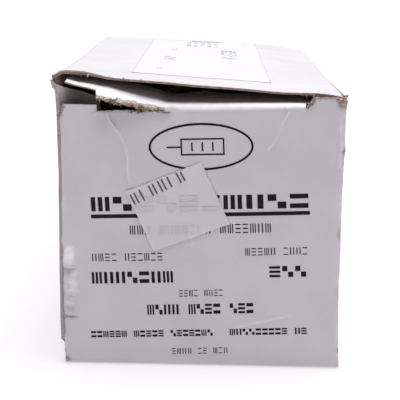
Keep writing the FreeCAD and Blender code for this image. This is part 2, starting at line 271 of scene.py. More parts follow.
def material(name, colour, roughness, build=None, **inputs):
    """A node material; build(look) adds its procedural detail."""
    mat = bpy.data.materials.new(name)
    mat.use_nodes = True
    look = Look(mat)
    look.shader.inputs["Base Color"].default_value = (*colour, 1)
    look.shader.inputs["Roughness"].default_value = roughness
    for key, value in inputs.items():
        look.shader.inputs[key.replace("_", " ")].default_value = value
    if build:
        build(look)
    return mat


KRAFT_DARK = (0.15, 0.10, 0.08)
KRAFT = (0.31, 0.225, 0.18)
KRAFT_PALE = (0.53, 0.425, 0.35)
TORN = (0.41, 0.315, 0.255)
TORN_PALE = (0.66, 0.57, 0.49)
COATED = (0.664, 0.634, 0.662)
COATED_DIM = (0.622, 0.592, 0.620)
# White of cracked coating, also used for painted highlights.
CRACK_AND_HIGHLIGHT_WHITE = (0.90, 0.88, 0.90)
# Dark grey-brown of soil, also used as painted shade.
GRIME_AND_SHADE = (0.19, 0.155, 0.15)


def coated_board(look):
    """Clay-coated white with faint mottling; wear first soils it, then bares the brown fibres.

    A crease cracks the coating to a brighter white, and the same white is painted on as highlights. The soil
    colour also stands as painted shade where the wear mark is raised for it.
    """
    cloud = look.computed("ADD", look.noise(0.09, 3), look.computed("MULTIPLY", look.noise(2.2, 3), 0.45))
    mottling = look.ramp(cloud, (0.55, COATED_DIM), (0.88, COATED))
    # The crease mark whitens the coating: cracks, and painted highlights on the front lid.
    mottling = look.mixed(look.mark("crease"), mottling, CRACK_AND_HIGHLIGHT_WHITE)
    fibres = look.ramp(look.noise(3.2, 4, (0.3, 1, 1)), (0.32, KRAFT_DARK), (0.47, TORN), (0.64, TORN_PALE))
    wear_and_shade = look.mark("wear_and_shade")
    grain = look.noise(1.6, 5)
    ragged = look.computed("ADD", wear_and_shade, look.computed("MULTIPLY", grain, 0.9))
    bare = look.ramp(ragged, (0.93, 0), (1.0, 1))
    smear = look.computed("MULTIPLY", wear_and_shade, look.computed("ADD", grain, 0.5))
    # Soil, which on the front left dust flap and in the lid's grooves stands as painted shade.
    soiled = look.mixed(look.ramp(smear, (0.04, 0), (0.55, 0.9)), mottling, GRIME_AND_SHADE)
    look.paint("Base Color", look.mixed(bare, soiled, fibres))
    look.paint("Roughness", look.ramp(bare, (0, 0.46), (1, 0.9)))
    height = look.computed("ADD", look.noise(0.9, 6), look.computed("MULTIPLY", bare, -1.5))
    look.bump(height, 0.35, 0.05)


def kraft_board(look):
    """The uncoated brown-grey side, with long fibres and specks."""
    fibres = look.noise(1.4, 6, (1, 0.3, 1))
    base = look.ramp(fibres, (0.3, KRAFT), (0.55, KRAFT_PALE), (0.8, (0.62, 0.50, 0.39)))
    dots = look.ramp(look.noise(4.5, 2), (0.66, 0), (0.74, 1))
    look.paint("Base Color", look.mixed(dots, base, KRAFT_DARK))
    look.bump(fibres, 0.4, 0.06)


def torn_board(look):
    """Cut and torn edges: layered brown fibres."""
    layers = look.noise(2.2, 5, (0.35, 0.35, 1.6))
    look.paint("Base Color", look.ramp(layers, (0.28, KRAFT_DARK), (0.52, KRAFT), (0.76, KRAFT_PALE)))
    look.bump(layers, 0.8, 0.12)


def plain_paper(colour, dim):
    def build(look):
        look.paint("Base Color", look.ramp(look.noise(0.12, 3), (0.35, dim), (0.65, colour)))
        look.bump(look.noise(1.2, 5), 0.25, 0.04)
    return build


def ink_film(colour, worn):
    """Printed ink with a few pale rubs."""
    def build(look):
        look.paint("Base Color", look.ramp(look.noise(1.7, 5), (0.60, colour), (0.78, worn)))
    return build


def metal(name, colour, roughness, bright, dark, stretch, strength):
    """Metal with fine drawn or turned marks and faint staining."""
    def build(look):
        marks = look.noise(2.5, 5, stretch)
        look.paint("Base Color", look.ramp(look.noise(0.10, 3), (0.35, dark), (0.6, bright)))
        look.paint("Roughness", look.ramp(marks, (0.3, 0.24), (0.7, 0.46)))
        look.bump(marks, strength, 0.03)
    return material(name, colour, roughness, build, Metallic=1.0)


def soft_fibre(name, colour, roughness, bright, dark, scale):
    """Felt, packing and gasket fibre: a fine tangle."""
    def build(look):
        tangle = look.noise(scale, 8)
        look.paint("Base Color", look.ramp(tangle, (0.35, dark), (0.62, bright)))
        look.bump(tangle, 0.9, 0.25)
    return material(name, colour, roughness, build)


BOARD_LOOK = [
    material("coated_board", COATED, 0.46, coated_board, Specular_IOR_Level=0.15),
    material("kraft_board", KRAFT_PALE, 0.85, kraft_board),
    material("torn_board", KRAFT, 0.95, torn_board),
]
BLACK, WORN_BLACK = (0.009, 0.008, 0.010), (0.07, 0.06, 0.07)
INK = material("ink_black", BLACK, 0.5, ink_film(BLACK, WORN_BLACK), Specular_IOR_Level=0.12)
GREY_INK = material("ink_grey", (0.12, 0.11, 0.13), 0.6, ink_film((0.09, 0.085, 0.10), (0.36, 0.34, 0.37)),
                    Specular_IOR_Level=0.2)
FAINT_INK = material("ink_faint", (0.53, 0.51, 0.54), 0.6,
                     ink_film((0.50, 0.48, 0.51), (0.62, 0.59, 0.62)))
LABEL_PAPER = material("label_paper", (0.69, 0.66, 0.69), 0.5,
                       plain_paper((0.695, 0.665, 0.695), (0.675, 0.64, 0.675)), Specular_IOR_Level=0.15)
STICKER_PAPER = material("sticker_paper", (0.685, 0.66, 0.69), 0.5,
                         plain_paper((0.685, 0.66, 0.69), (0.655, 0.63, 0.66)))
GHOST_INK = material("ink_under_sticker", (0.59, 0.595, 0.62), 0.5,
                     ink_film((0.585, 0.595, 0.62), (0.635, 0.625, 0.645)))

TURNED, EVEN, DRAWN = (1, 0.05, 1), (1, 1, 1), (0.1, 1, 0.1)    # which way a metal's marks run
TURNED_STEEL = metal("turned_steel", (0.60, 0.58, 0.53), 0.3, (0.66, 0.64, 0.60), (0.52, 0.50, 0.46),
                     TURNED, 0.12)
SATIN_ALLOY = metal("satin_alloy", (0.60, 0.61, 0.62), 0.4, (0.66, 0.67, 0.69), (0.54, 0.55, 0.57),
                    EVEN, 0.22)
SHEET_STEEL = metal("sheet_steel", (0.55, 0.56, 0.58), 0.35, (0.62, 0.63, 0.65), (0.48, 0.49, 0.51),
                    DRAWN, 0.12)
ZINC_PLATE = metal("zinc_plate", (0.68, 0.66, 0.60), 0.3, (0.74, 0.73, 0.70), (0.60, 0.57, 0.50), EVEN, 0.08)
WIRE = metal("wire", (0.60, 0.60, 0.60), 0.3, (0.66, 0.66, 0.66), (0.5, 0.5, 0.5), EVEN, 0.05)
FELT = soft_fibre("felt", (0.74, 0.72, 0.66), 0.95, (0.80, 0.78, 0.72), (0.62, 0.60, 0.54), 2.5)
FIBRE_PACK = soft_fibre("fibre_pack", (0.82, 0.81, 0.76), 0.95, (0.86, 0.85, 0.80), (0.58, 0.57, 0.52), 1.4)
GASKET = soft_fibre("gasket_fibre", (0.035, 0.035, 0.04), 0.8, (0.05, 0.05, 0.055), (0.02, 0.02, 0.022), 3.0)


# ------------------------------------------------------------------ mesh making
def mesh_object(name, vertices, faces, slots, face_slots=None, marks=None, crease_angle=38):
    """A finished object from millimetre vertices; marks are named values at the vertices."""
    mesh = bpy.data.meshes.new(name)
    mesh.from_pydata([tuple(v) for v in np.asarray(vertices, float) * MM], [], faces)
    for slot in slots:
        mesh.materials.append(slot)
    if face_slots is not None:
        mesh.polygons.foreach_set("material_index", np.asarray(face_slots, np.int32))
    for label, values in (marks or {}).items():
        mesh.attributes.new(label, "FLOAT", "POINT").data.foreach_set("value", np.asarray(values, np.float32))
    mesh.polygons.foreach_set("use_smooth", [True] * len(mesh.polygons))
    mesh.validate()
    mesh.update()
    mesh.set_sharp_from_angle(angle=math.radians(crease_angle))
    piece = bpy.data.objects.new(name, mesh)
    bpy.context.scene.collection.objects.link(piece)
    return piece


def outline_of(rows, columns, closed):
    """Index loops (row, column) around a grid's open borders."""
    if closed:
        return [[(i, j) for i in range(rows)] for j in (0, columns - 1)]
    loop = [(i, 0) for i in range(rows)] + [(rows - 1, j) for j in range(1, columns)]
    loop += [(i, columns - 1) for i in range(rows - 2, -1, -1)]
    loop += [(0, j) for j in range(columns - 2, 0, -1)]
    return [loop]


RIM_ROWS = 3


def board(name, face, a, b, out, thickness=BOARD, wear_and_shade=None, crease=None, closed=False, ragged=0.05,
          slots=None, seed=0.0):
    """A sheet of board: face(a, b) is its coated side, out says which way that side looks."""
    reach = 0.03
    outer = face(a, b)
    normal = np.cross(face(a + reach, b) - face(a - reach, b), face(a, b + reach) - face(a, b - reach))
    normal *= out / np.maximum(np.linalg.norm(normal, axis=2, keepdims=True), 1e-12)
    inner = outer - normal * (thickness if np.isscalar(thickness) else thickness[..., None])
    rows, columns = outer.shape[:2]
    count = rows * columns
    vertices = [outer.reshape(-1, 3), inner.reshape(-1, 3)]
    worn = np.zeros(outer.shape[:2]) if wear_and_shade is None else np.asarray(wear_and_shade, float)
    wears = [worn.ravel(), np.zeros(count)]
    cracks = np.zeros(count) if crease is None else np.asarray(crease, float).ravel()
    faces, kinds = [], []
    last = rows if closed else rows - 1
    for i in range(last):
        k = (i + 1) % rows
        for j in range(columns - 1):
            quad = [i * columns + j, k * columns + j, k * columns + j + 1, i * columns + j + 1]
            if out < 0:
                quad.reverse()
            faces += [quad, [count + v for v in reversed(quad)]]
            kinds += [0, 1]
    start = 2 * count
    for loop in outline_of(rows, columns, closed):
        ring = len(loop)
        i = np.array([p[0] for p in loop])
        j = np.array([p[1] for p in loop])
        inside_i = i if closed else np.clip(i, 1, rows - 2)
        outward = outer[i, j] - outer[inside_i, np.clip(j, 1, columns - 2)]
        outward /= np.maximum(np.linalg.norm(outward, axis=1, keepdims=True), 1e-9)
        steps = [[p[0] * columns + p[1] for p in loop]]
        for row in range(1, RIM_ROWS + 1):
            share = row / (RIM_ROWS + 1)
            middle = outer[i, j] * (1 - share) + inner[i, j] * share
            lumps = np.array([noise.noise(Vector(p) * 1.3 + Vector((seed, row, 0))) for p in middle])
            rough = ragged * (0.15 + 0.85 * worn[i, j]) * (0.6 + lumps)
            vertices.append(middle + outward * rough[:, None])
            wears.append(np.ones(ring))
            steps.append([start + k for k in range(ring)])
            start += ring
        steps.append([count + p[0] * columns + p[1] for p in loop])
        for upper, lower in zip(steps, steps[1:]):
            for k in range(ring):
                n = (k + 1) % ring
                faces.append([upper[k], upper[n], lower[n], lower[k]])
                kinds.append(2)
    wears = np.concatenate(wears)
    cracks = np.concatenate([cracks, np.zeros(len(wears) - count)])
    piece = mesh_object(name, np.concatenate(vertices), faces, slots or BOARD_LOOK, kinds,
                        {"wear_and_shade": wears, "crease": cracks})
    tidy_normals(piece)
    return piece


def tidy_normals(piece):
    """Turns every face of a closed mesh outwards."""
    cells = bmesh.new()
    cells.from_mesh(piece.data)
    bmesh.ops.recalc_face_normals(cells, faces=cells.faces)
    cells.to_mesh(piece.data)
    cells.free()


# ------------------------------------------------------------------ the sleeve
def top_height(x, y):
    """Outer face of the top panel: racked, lifted at the front left and swollen at the back."""
    back = step_up(y, FRONT, HALF_L)
    plain_z = FRONT_SLOPE[1] - FRONT_SLOPE[0] * x
    back_z = BACK_RISE[1] - BACK_RISE[0] * x - 0.9 * step_up(x, HALF_W - 14, HALF_W)
    rim = (eased(x, TOP_EDGE, 1.2) - plain_z) * fade(y - FRONT, 13)
    return plain_z * (1 - back) + back_z * back + rim


# Paths of (distance round the section from the left foot, place along).
SLEEVE_CREASES = [
    [(96, -44), (104, -18), (101, 2)],
    [(66, 30), (80, 38), (98, 41)],
    [(214, 12), (228, 26), (233, 47)],
    [(240, -38), (249, -24)],
    [(136, 60), (147, 46)],
]


def rim_retreat(x):
    """How far the top panel's front edge is worn back; most at the left, over the torn flap."""
    return 1.3 + 1.1 * step_up(-x, 10, 23)


def top_lumps(s, y):
    """Small unevenness of the board round the sleeve, with its long creases pressed in."""
    near = np.min([to_path(s, y, path) for path in SLEEVE_CREASES], axis=0)
    pressed = 0.14 * hill(near, 0, 0.8)
    return 0.10 * bumps(s, y, 14, SEED_SLEEVE) + 0.035 * bumps(s, y, 3.5, SEED_SLEEVE + 5) - pressed


SLEEVE_R = 0.95
SIDES = (2 * HALF_W, NOMINAL_H, 2 * HALF_W, NOMINAL_H)
PERIMETER = sum(SIDES)


def sleeve_section(s):
    """(x, z, across outward x, outward z) at a distance round the section, from the left foot."""
    x, z = np.zeros_like(s), np.zeros_like(s)
    nx, nz = np.zeros_like(s), np.zeros_like(s)
    corner = [(-HALF_W, 0), (HALF_W, 0), (HALF_W, NOMINAL_H), (-HALF_W, NOMINAL_H)]
    ways = [(1, 0), (0, 1), (-1, 0), (0, -1)]
    start = 0.0
    for side, (length, (cx, cz), (wx, wz)) in enumerate(zip(SIDES, corner, ways)):
        along = s - start
        here = (along >= 0) & (along <= length)
        px, pz = cx + wx * along, cz + wz * along
        ox, oz = wz, -wx
        near, far = np.clip(SLEEVE_R - along, 0, None), np.clip(SLEEVE_R - (length - along), 0, None)
        cut = near + far
        angle = np.clip(cut / SLEEVE_R, 0, 1) * math.pi / 4
        side_x, side_z = np.where(near > 0, -wx, wx), np.where(near > 0, -wz, wz)
        turn = SLEEVE_R * (1 - np.cos(angle))
        slide = SLEEVE_R * np.sin(angle) - np.clip(cut, 0, SLEEVE_R)
        x = np.where(here, px - ox * turn + side_x * slide, x)
        z = np.where(here, pz - oz * turn + side_z * slide, z)
        nx = np.where(here, ox * np.cos(angle) + side_x * np.sin(angle), nx)
        nz = np.where(here, oz * np.cos(angle) + side_z * np.sin(angle), nz)
        start += length
    return x, z, nx, nz


def swelling(y, z):
    """0 at the walls' edges and 1 at their middles."""
    return np.sin(np.clip(z / NOMINAL_H, 0, 1) * math.pi) * np.cos(y / HALF_L * math.pi / 2)


def flare(y, z, side):
    """How far a side wall stands out near the front lid."""
    return eased(z, LEFT_FLARE if side < 0 else RIGHT_FLARE, 0.3) * fade(y - FRONT, 8)


def back_corner(x, y, z, height, width):
    """How near a point is to the crushed back right corner."""
    return np.exp(-((x - HALF_W) ** 2 + (y - HALF_L) ** 2 + (z - height) ** 2) / width ** 2)


def sleeve_face(s, y):
    """Outer face of the sleeve in its worn shape."""
    s = np.mod(s, PERIMETER)
    x, z, nx, nz = sleeve_section(s)
    height = top_height(x, y)
    out_x = nx * SWELL * swelling(y, z) + nx * np.abs(nx) * flare(y, z, -1) * (nx < 0)
    out_x = out_x + nx * np.abs(nx) * flare(y, z, 1) * (nx > 0)
    lumpy = top_lumps(s, y) * np.where(nz < -0.5, 0.0, 1.0)
    x = x + out_x + nx * lumpy
    z = z * height / NOMINAL_H + np.maximum(nz, 0) * lumpy
    z = z - 0.35 * fade(HALF_L - y, 5) * step_up(z, 40, 62) * (0.5 + bumps(s, y, 5, 2.2))
    retreat = WALL_RETREAT + (rim_retreat(x) - WALL_RETREAT) * step_up(nz, 0.2, 0.8)
    y = y + retreat * fade(y - FRONT, 4) * step_up(z, 55, 64)
    rounded = hill(y, FRONT, 3.5) * hill(x, -HALF_W - 0.6, 1.1) * step_up(z, 60, 64)
    z = z - 1.3 * rounded
    crush = back_corner(x, y, z, CORNER_H, 5.5)
    x, y, z = x - CRUSHED[0] * crush, y - CRUSHED[1] * crush, z - CRUSHED[2] * crush
    edge = hill(y, FRONT, 2.5) * step_up(z, 50, 62)
    tatter = bumps(s, y * 0, 1.6, 8.1)
    y = y + edge * 0.16 * tatter
    return stack(leaning(x, z), y, z)


def sleeve_ends(s):
    """Half the length of the sleeve at each place round the section."""
    x, z, nx, nz = sleeve_section(np.mod(s, PERIMETER))
    top = step_up(nz, 0.35, 0.8)
    bottom = step_up(-nz, 0.35, 0.8)
    return WALL_END + (HALF_L - WALL_END) * top + (BASE_END - WALL_END) * bottom


def sleeve_wear(s, y):
    """Scuffed long edges, frayed front rim and the crushed back corner."""
    x, z, nx, nz = sleeve_section(np.mod(s, PERIMETER))
    ridge = np.clip(np.abs(nx) * np.abs(nz) * 2, 0, 1)
    scuff = ridge * (0.26 + 0.22 * bumps(s, y, 6, 4.4))
    rim = fade(y - FRONT, 0.5) * step_up(nz, 0.3, 0.7) * (0.42 + 0.25 * bumps(s, y, 1.2, 6.6))
    left = hill(y, FRONT, 2.6) * hill(x, -HALF_W, 1.6) * step_up(z, 57, 62)
    right = hill(y, FRONT, 2.2) * hill(x, HALF_W, 1.5) * step_up(z, 58, 62)
    crushed = back_corner(x, y, z, CORNER_H - 1.5, 3.0)
    # Darker along the left wall's front edge, and faint random patches on both side walls.
    left_front_dark_and_patches = 0.2 * step_up(-nx, 0.5, 0.9) * fade(y - FRONT, 5)
    left_front_dark_and_patches += 0.05 * step_up(np.abs(nx), 0.6, 0.9) * step_up(bumps(s, y, 17, 16.7), -0.1, 0.9)
    return np.clip(scuff + rim + 0.75 * left + 0.7 * right + 0.5 * crushed + left_front_dark_and_patches, 0, 1)


def sleeve_cracks(s, y):
    """Long faint creases in the side walls and one on the top panel."""
    near = np.min([to_path(s, y, path) for path in SLEEVE_CREASES], axis=0)
    return 0.32 * hill(near, 0, 0.5) * (0.7 + 0.9 * bumps(s, y, 2.5, 13.3)).clip(0, 1)


def make_sleeve():
    marks = [0]
    for length in SIDES:
        start = marks[-1]
        marks += [start + SLEEVE_R / 2, start + SLEEVE_R, start + length - SLEEVE_R,
                  start + length - SLEEVE_R / 2, start + length]
    s = stops(marks, 0.9)[:-1]
    share = stops([-1, -0.985, -0.93, 0.93, 0.985, 1], 0.0125)
    share = np.unique(np.concatenate([share, stops([-1, -0.97], 0.003)]))
    s_grid, share_grid = np.meshgrid(s, share, indexing="ij")
    y_grid = share_grid * sleeve_ends(s_grid)
    x, z, nx, nz = sleeve_section(s_grid)
    above = step_up(nz, 0.5, 0.9) * fade(y_grid - FRONT, 3)
    thin = above * (0.36 - 0.22 * step_up(-x, 18, 28) - 0.24 * step_up(x, 22, 27))
    piece = board("sleeve_board", sleeve_face, s_grid, y_grid, -1, thickness=BOARD - thin,
                  wear_and_shade=sleeve_wear(s_grid, y_grid), crease=sleeve_cracks(s_grid, y_grid),
                  closed=True, ragged=0.10, seed=1.5)
    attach(piece, "sleeve")
    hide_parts("carton_bottom_panel", "carton_top_panel", "carton_left_wall", "carton_right_wall")


def make_glue_flap():
    """The flap inside the right wall, glued under the top panel's edge."""
    top = GLUE_HIGH[2] - 0.5
    drop = GLUE_HIGH[2] - GLUE_LOW[2]

    def face(y, t):
        z = top - drop * t
        x = HALF_W - BOARD - 0.12 + 0.5 * swelling(y, z)
        return stack(leaning(x + flare(y, z, 1), z), y, z)

    t, share = np.meshgrid(stops([0, 1], 0.06), stops([-1, 1], 0.012), indexing="xy")
    y = share * (WALL_END - 0.3 - 5.0 * t)
    piece = board("glue_flap_board", face, y, t, 1, wear_and_shade=np.zeros_like(t), seed=2.5)
    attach(piece, "sleeve")
    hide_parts("carton_glue_flap")


# ------------------------------------------------------------------ lids
LID_LEAD = 0.6
LID_ARC = FOLD_R * math.pi / 2
LID_Z0 = FOLD_R - LID_LEAD - LID_ARC     # height on the face = path length + this


LEFT_WRINKLE = [(-21.0, 59.3), (-20.1, 56.6), (-18.2, 54.0), (-17.1, 51.2), (-16.5, 48.3), (-16.6, 45.1),
                (-16.0, 42.0)]
FAINT_DENT = [(-23.2, 47.6), (-20.6, 46.2), (-18.2, 43.6)]
RIGHT_WRINKLE = [(19.0, 59.2), (17.6, 56.4), (16.2, 53.0), (14.6, 50.7)]
LOW_SCRATCH = [(7.0, 9.3), (10.2, 9.9), (13.7, 10.9), (19.5, 12.2)]
STICKER_TEAR = [(-3.2, 31.4), (-2.2, 29.6), (-2.6, 28.2)]
TAB_FOLD = [(-24.0, 57.8), (-22.6, 58.8), (-21.9, 59.4)]
RIGHT_EDGE_FOLD = [(30.3, 57.5), (30.7, 52.0), (30.4, 47.0)]


# Lines on the printed lid as (path, height, width), and where they crack its coating; the cracks are painted
# white, partly as a painted highlight along each ridge.
RIDGES = [(LEFT_WRINKLE, 0.34, 0.24), (FAINT_DENT, -0.08, 0.7), (RIGHT_WRINKLE, 0.24, 0.25),
          (LOW_SCRATCH, 0.16, 0.22), (STICKER_TEAR, 0.14, 0.3), (TAB_FOLD, 0.14, 0.3),
          (RIGHT_EDGE_FOLD, 0.22, 0.3)]
CRACKS_AND_HIGHLIGHTS = [(LEFT_WRINKLE, 0.62, 0.17), (RIGHT_WRINKLE, 0.5, 0.17), (STICKER_TEAR, 0.4, 0.17),
          (LOW_SCRATCH, 0.3, 0.17), (RIGHT_EDGE_FOLD, 0.6, 0.2)]


def lines_on(x, z, lines):
    return sum(height * hill(to_path(x, z, path), 0, width) for path, height, width in lines)


def front_lid_relief(x, z):
    """How far the printed lid stands out: bowing, wrinkles and dents."""
    bow = 0.35 * np.cos(x / LID_HALF * math.pi / 2) * np.sin(np.clip(z / LID_H, 0, 1) * math.pi)
    shape = bow + 0.07 * bumps(x, z, 11, SEED_LID) + 0.018 * bumps(x, z, 2.4, SEED_LID + 2)
    shape += lines_on(x, z, RIDGES) + 0.16 * fade(to_path(x, z, LEFT_WRINKLE), 1.0)
    shape += PROUD * step_up(z, 22, 62)
    pillow = hill(x, -30.3, 1.2, 4) * hill(z, 25.2, 2.3, 6)
    shape += 0.30 * pillow * (27.8 - z)
    shape -= 0.45 * hill(z, 22.6, 0.3) * hill(x, -LID_HALF, 2.6)
    slump = hill(x, -30.2, 1.6, 4) * hill(z, 18.4, 3.6, 6)
    shape += 0.17 * slump * (22.4 - z)
    crumple = hill(x, -29.9, 1.7) * hill(z, 18.3, 4.6) * (0.8 * bumps(x, z, 1.5, 5.5) + 0.2)
    left_edge = hill(x, -LID_HALF, 2.4)
    dents = -0.4 * left_edge * hill(z, 11.2, 0.42)
    right_edge = hill(x, LID_HALF, 1.1)
    nicks = right_edge * 0.25 * bumps(x, z, 1.5, 9.5) * (hill(z, 46, 4) + hill(z, 36, 2) + hill(z, 56, 4))
    rolled = -0.35 * fade(LID_HALF - np.abs(x), 0.8) * step_up(z, 2, 6)
    return (shape + crumple + dents + nicks + rolled) * step_up(z, 0.8, 3.0)


def front_lid_cracks_and_highlights(x, z):
    """Where the printed lid's coating has cracked, painted highlights on its pillow, crumples and side edges,
    and a brighter line along its top edge at the left.
    """
    broken = 0.75 + 0.6 * bumps(x, z, 1.1, 15.5)
    # Painted highlights: on the pillow, on the slump's top, on the left edge and in patches on the right
    # edge.
    pressed = 1.2 * hill(x, -30.1, 1.2, 4) * hill(z, 25.9, 1.9, 4)
    pressed += 0.35 * hill(x, -29.8, 1.5, 4) * hill(z, 19.6, 2.6, 4)
    pressed += 0.30 * hill(x, -31.3, 0.7) * hill(z, 37.0, 3.5)
    pressed += 0.6 * hill(x, LID_HALF, 0.8) * (hill(z, 38.5, 2.6) + hill(z, 20.5, 1.6)
                                                                      + 0.6 * hill(z, 10, 4))
    # A brighter line along the top edge left of the torn crease.
    pressed += 0.6 * fade(front_lid_top(x) - z, 0.25) * (x < -7)
    return np.clip((lines_on(x, z, CRACKS_AND_HIGHLIGHTS) + pressed) * broken, 0, 1)


def rear_lid_relief(x, z):
    bow = 0.5 * np.cos(x / LID_HALF * math.pi / 2) * np.sin(np.clip(z / LID_H, 0, 1) * math.pi)
    crossing = to_path(x, z, REAR_CREASE)
    shape = bow + 0.10 * bumps(x, z, 10, SEED_LID + 7) + 0.12 * hill(crossing, 0, 0.5)
    return shape * step_up(z, 0.8, 3.0)


def lid_face(end, relief):
    """Coated face of a lid: x across, s along the board from the bottom panel up."""
    def face(x, s):
        along, up = folded(s, LID_LEAD, FOLD_R)
        y = FRONT + LID_LEAD + FOLD_R - along - relief(x, up)
        return stack(leaning(x, up), y * -end, up)
    return face


def on_front_lid(x, z, lift):
    """A point of the printed lid's coated face, raised by lift."""
    return stack(leaning(x, z), FRONT - front_lid_relief(x, z) - lift, z)


NOTCH = 0.13


def front_lid_top(x):
    """Upper edge: flat tabs outside the slits, the torn crease at the left, the fold at the right."""
    middle = eased(x, CREASE_FOOT)
    torn = step_up(-x, 7.0, 9.5)
    middle = middle + torn * (along_path(x, LID_TEAR) - middle) + torn * 0.16 * bumps(x, x * 0, 0.8, 3.3)
    left_tab = 60.0 + 0.05 * bumps(x, x * 0, 2.0, 7.7) - 1.6 * step_up(-x, LID_HALF - 1.0, LID_HALF)
    right_tab = 62.55 - 2.0 * (1 - step_up(x, SLIT, SLIT + 2.0)) + 0.14 * bumps(x, x * 0, 0.8, 1.7)
    right_tab = right_tab - 0.5 * step_up(x, LID_HALF - 1.2, LID_HALF)
    top = np.where(x < -SLIT, left_tab, np.where(x > SLIT, right_tab, middle))
    slit = np.abs(np.abs(x) - SLIT) < NOTCH * 0.9
    return np.where(slit, 58.55 + 1.6 * (x > 0), top)


def rear_lid_top(x):
    tab = np.abs(x) > SLIT
    return np.where(tab, LID_H + 0.05, LID_H - TUCK_FOLD_R)


def lid_sides(x, z, worn):
    """Pushes the board's side edges in and out, so that they aren't ruler straight."""
    close = fade(LID_HALF - np.abs(x), 0.7)
    bites = 0.14 * bumps(x * 0 + np.sign(x) * 9, z, 3.0, 12.1) + 0.13 * bumps(x * 0, z, 0.9, 2.1)
    if not worn:
        return x + np.sign(x) * close * bites * 0.3
    line = np.where(x < 0, eased(z, LID_LEFT_EDGE), eased(z, LID_RIGHT_EDGE))
    torn = 0.45 * (x > 0) * (hill(z, 32.0, 1.3) + 0.7 * hill(z, 38.2, 0.6) + 0.7 * hill(z, 18.6, 1.0)
                             + 0.4 * hill(z, 4.5, 0.5) - 0.5 * hill(z, 51.0, 1.2))
    return x + close * (line + np.sign(x) * bites - torn)


def front_lid_wear_and_shade(x, z):
    left_corner = step_up(0.48 * (z - 56.6) - (x + LID_HALF), -0.25, 0.25) * step_up(z, 55, 56)
    right_start = hill(x, SLIT + 0.7, 0.8) * step_up(z, 60.3, 61.3)
    right_end = hill(x, LID_HALF - 0.6, 0.9) * step_up(z, 59.4, 61.6)
    loose = (x < TORN_FROM) | (x > SLIT)
    upper = fade(front_lid_top(x) - z, 0.28) * (0.35 + 0.35 * step_up(x, SLIT, SLIT + 1)) * loose
    torn = fade(front_lid_top(x) - z, 0.35) * step_up(-x, 9, 12) * step_up(x, -SLIT, -SLIT + 2)
    sides = fade(LID_HALF - np.abs(x), 0.25) * (0.08 + 0.25 * bumps(x, z, 3, 9.1))
    foot = hill(x, -LID_HALF, 1.0) * hill(z, 1.0, 0.8)
    nick = 0.8 * fade(LID_HALF - x, 0.6) * (hill(z, 31.8, 1.2) + 0.8 * hill(z, 18.4, 1.4)
                                                  + 0.5 * hill(z, 50.6, 0.6) + 0.5 * hill(z, 4.3, 0.5))
    # Painted shade in the two grooves along the left edge.
    painted_groove_shade = 0.42 * hill(x, -29.9, 1.5) * (hill(z, 11.2, 0.35) + 0.5 * hill(z, 22.5, 0.25))
    worn = left_corner + 0.85 * right_start + 0.8 * right_end + upper * 0.8 + 0.25 * torn + sides
    return np.clip(worn + 0.6 * foot + nick + painted_groove_shade, 0, 1)


REAR_CREASE = [(-31, 44), (-18, 52), (-6, 60)]


def rear_lid_wear(x, z):
    """Scuffs along the plain lid's sides and where it was picked open."""
    sides = fade(LID_HALF - np.abs(x), 0.35) * (0.22 + 0.4 * bumps(x * 0 + np.sign(x) * 5, z, 3, 4.1))
    picked = 0.5 * fade(rear_lid_top(x) - z, 0.6) * hill(x, 3, 9) * (0.6 + bumps(x, z, 1.5, 2.6))
    tabs = 0.4 * fade(rear_lid_top(x) - z, 0.35) * (np.abs(x) > SLIT)
    rub = 0.10 * step_up(bumps(x * 0.4, z, 9, 7.3), 0.15, 0.5)
    return np.clip(sides + picked + tabs + rub, 0, 1)


def rear_lid_cracks(x, z):
    return 0.5 * hill(to_path(x, z, REAR_CREASE), 0, 0.4) * (0.8 + 0.6 * bumps(x, z, 1.4, 3.3))


def make_lid(end, name, relief, top_of, wear_and_shade_of, cracks_and_highlights_of, step):
    """One lid with the fold at its foot; end is -1 at the front and 1 at the back."""
    right = [SLIT - NOTCH, SLIT - NOTCH * 0.8, SLIT + NOTCH * 0.8, SLIT + NOTCH, LID_HALF - 1.5, LID_HALF]
    x = stops([-v for v in reversed(right)] + right, step)
    rows = stops([0, 0.011, 0.035, 0.96, 1], step / LID_H)
    x_grid, share = np.meshgrid(x, rows, indexing="ij")
    s_grid = share * (top_of(x_grid) - LID_Z0)
    z_grid = s_grid + LID_Z0
    x_grid = lid_sides(x_grid, z_grid, end < 0)
    piece = board(name, lid_face(end, relief), x_grid, s_grid, -end,
                  wear_and_shade=wear_and_shade_of(x_grid, z_grid), crease=cracks_and_highlights_of(x_grid, z_grid), ragged=0.07, seed=4.0 + end)
    side = "front" if end < 0 else "rear"
    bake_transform(piece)
    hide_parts(side + "_lid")


# ------------------------------------------------------------------ tuck flaps
TUCK_ARC = TUCK_FOLD_R * math.pi / 2
TORN_FROM, TORN_TO = -8.0, -10.5


def under_top(x, y):
    """Lower face of the top panel."""
    return top_height(x, y) - BOARD - 0.18


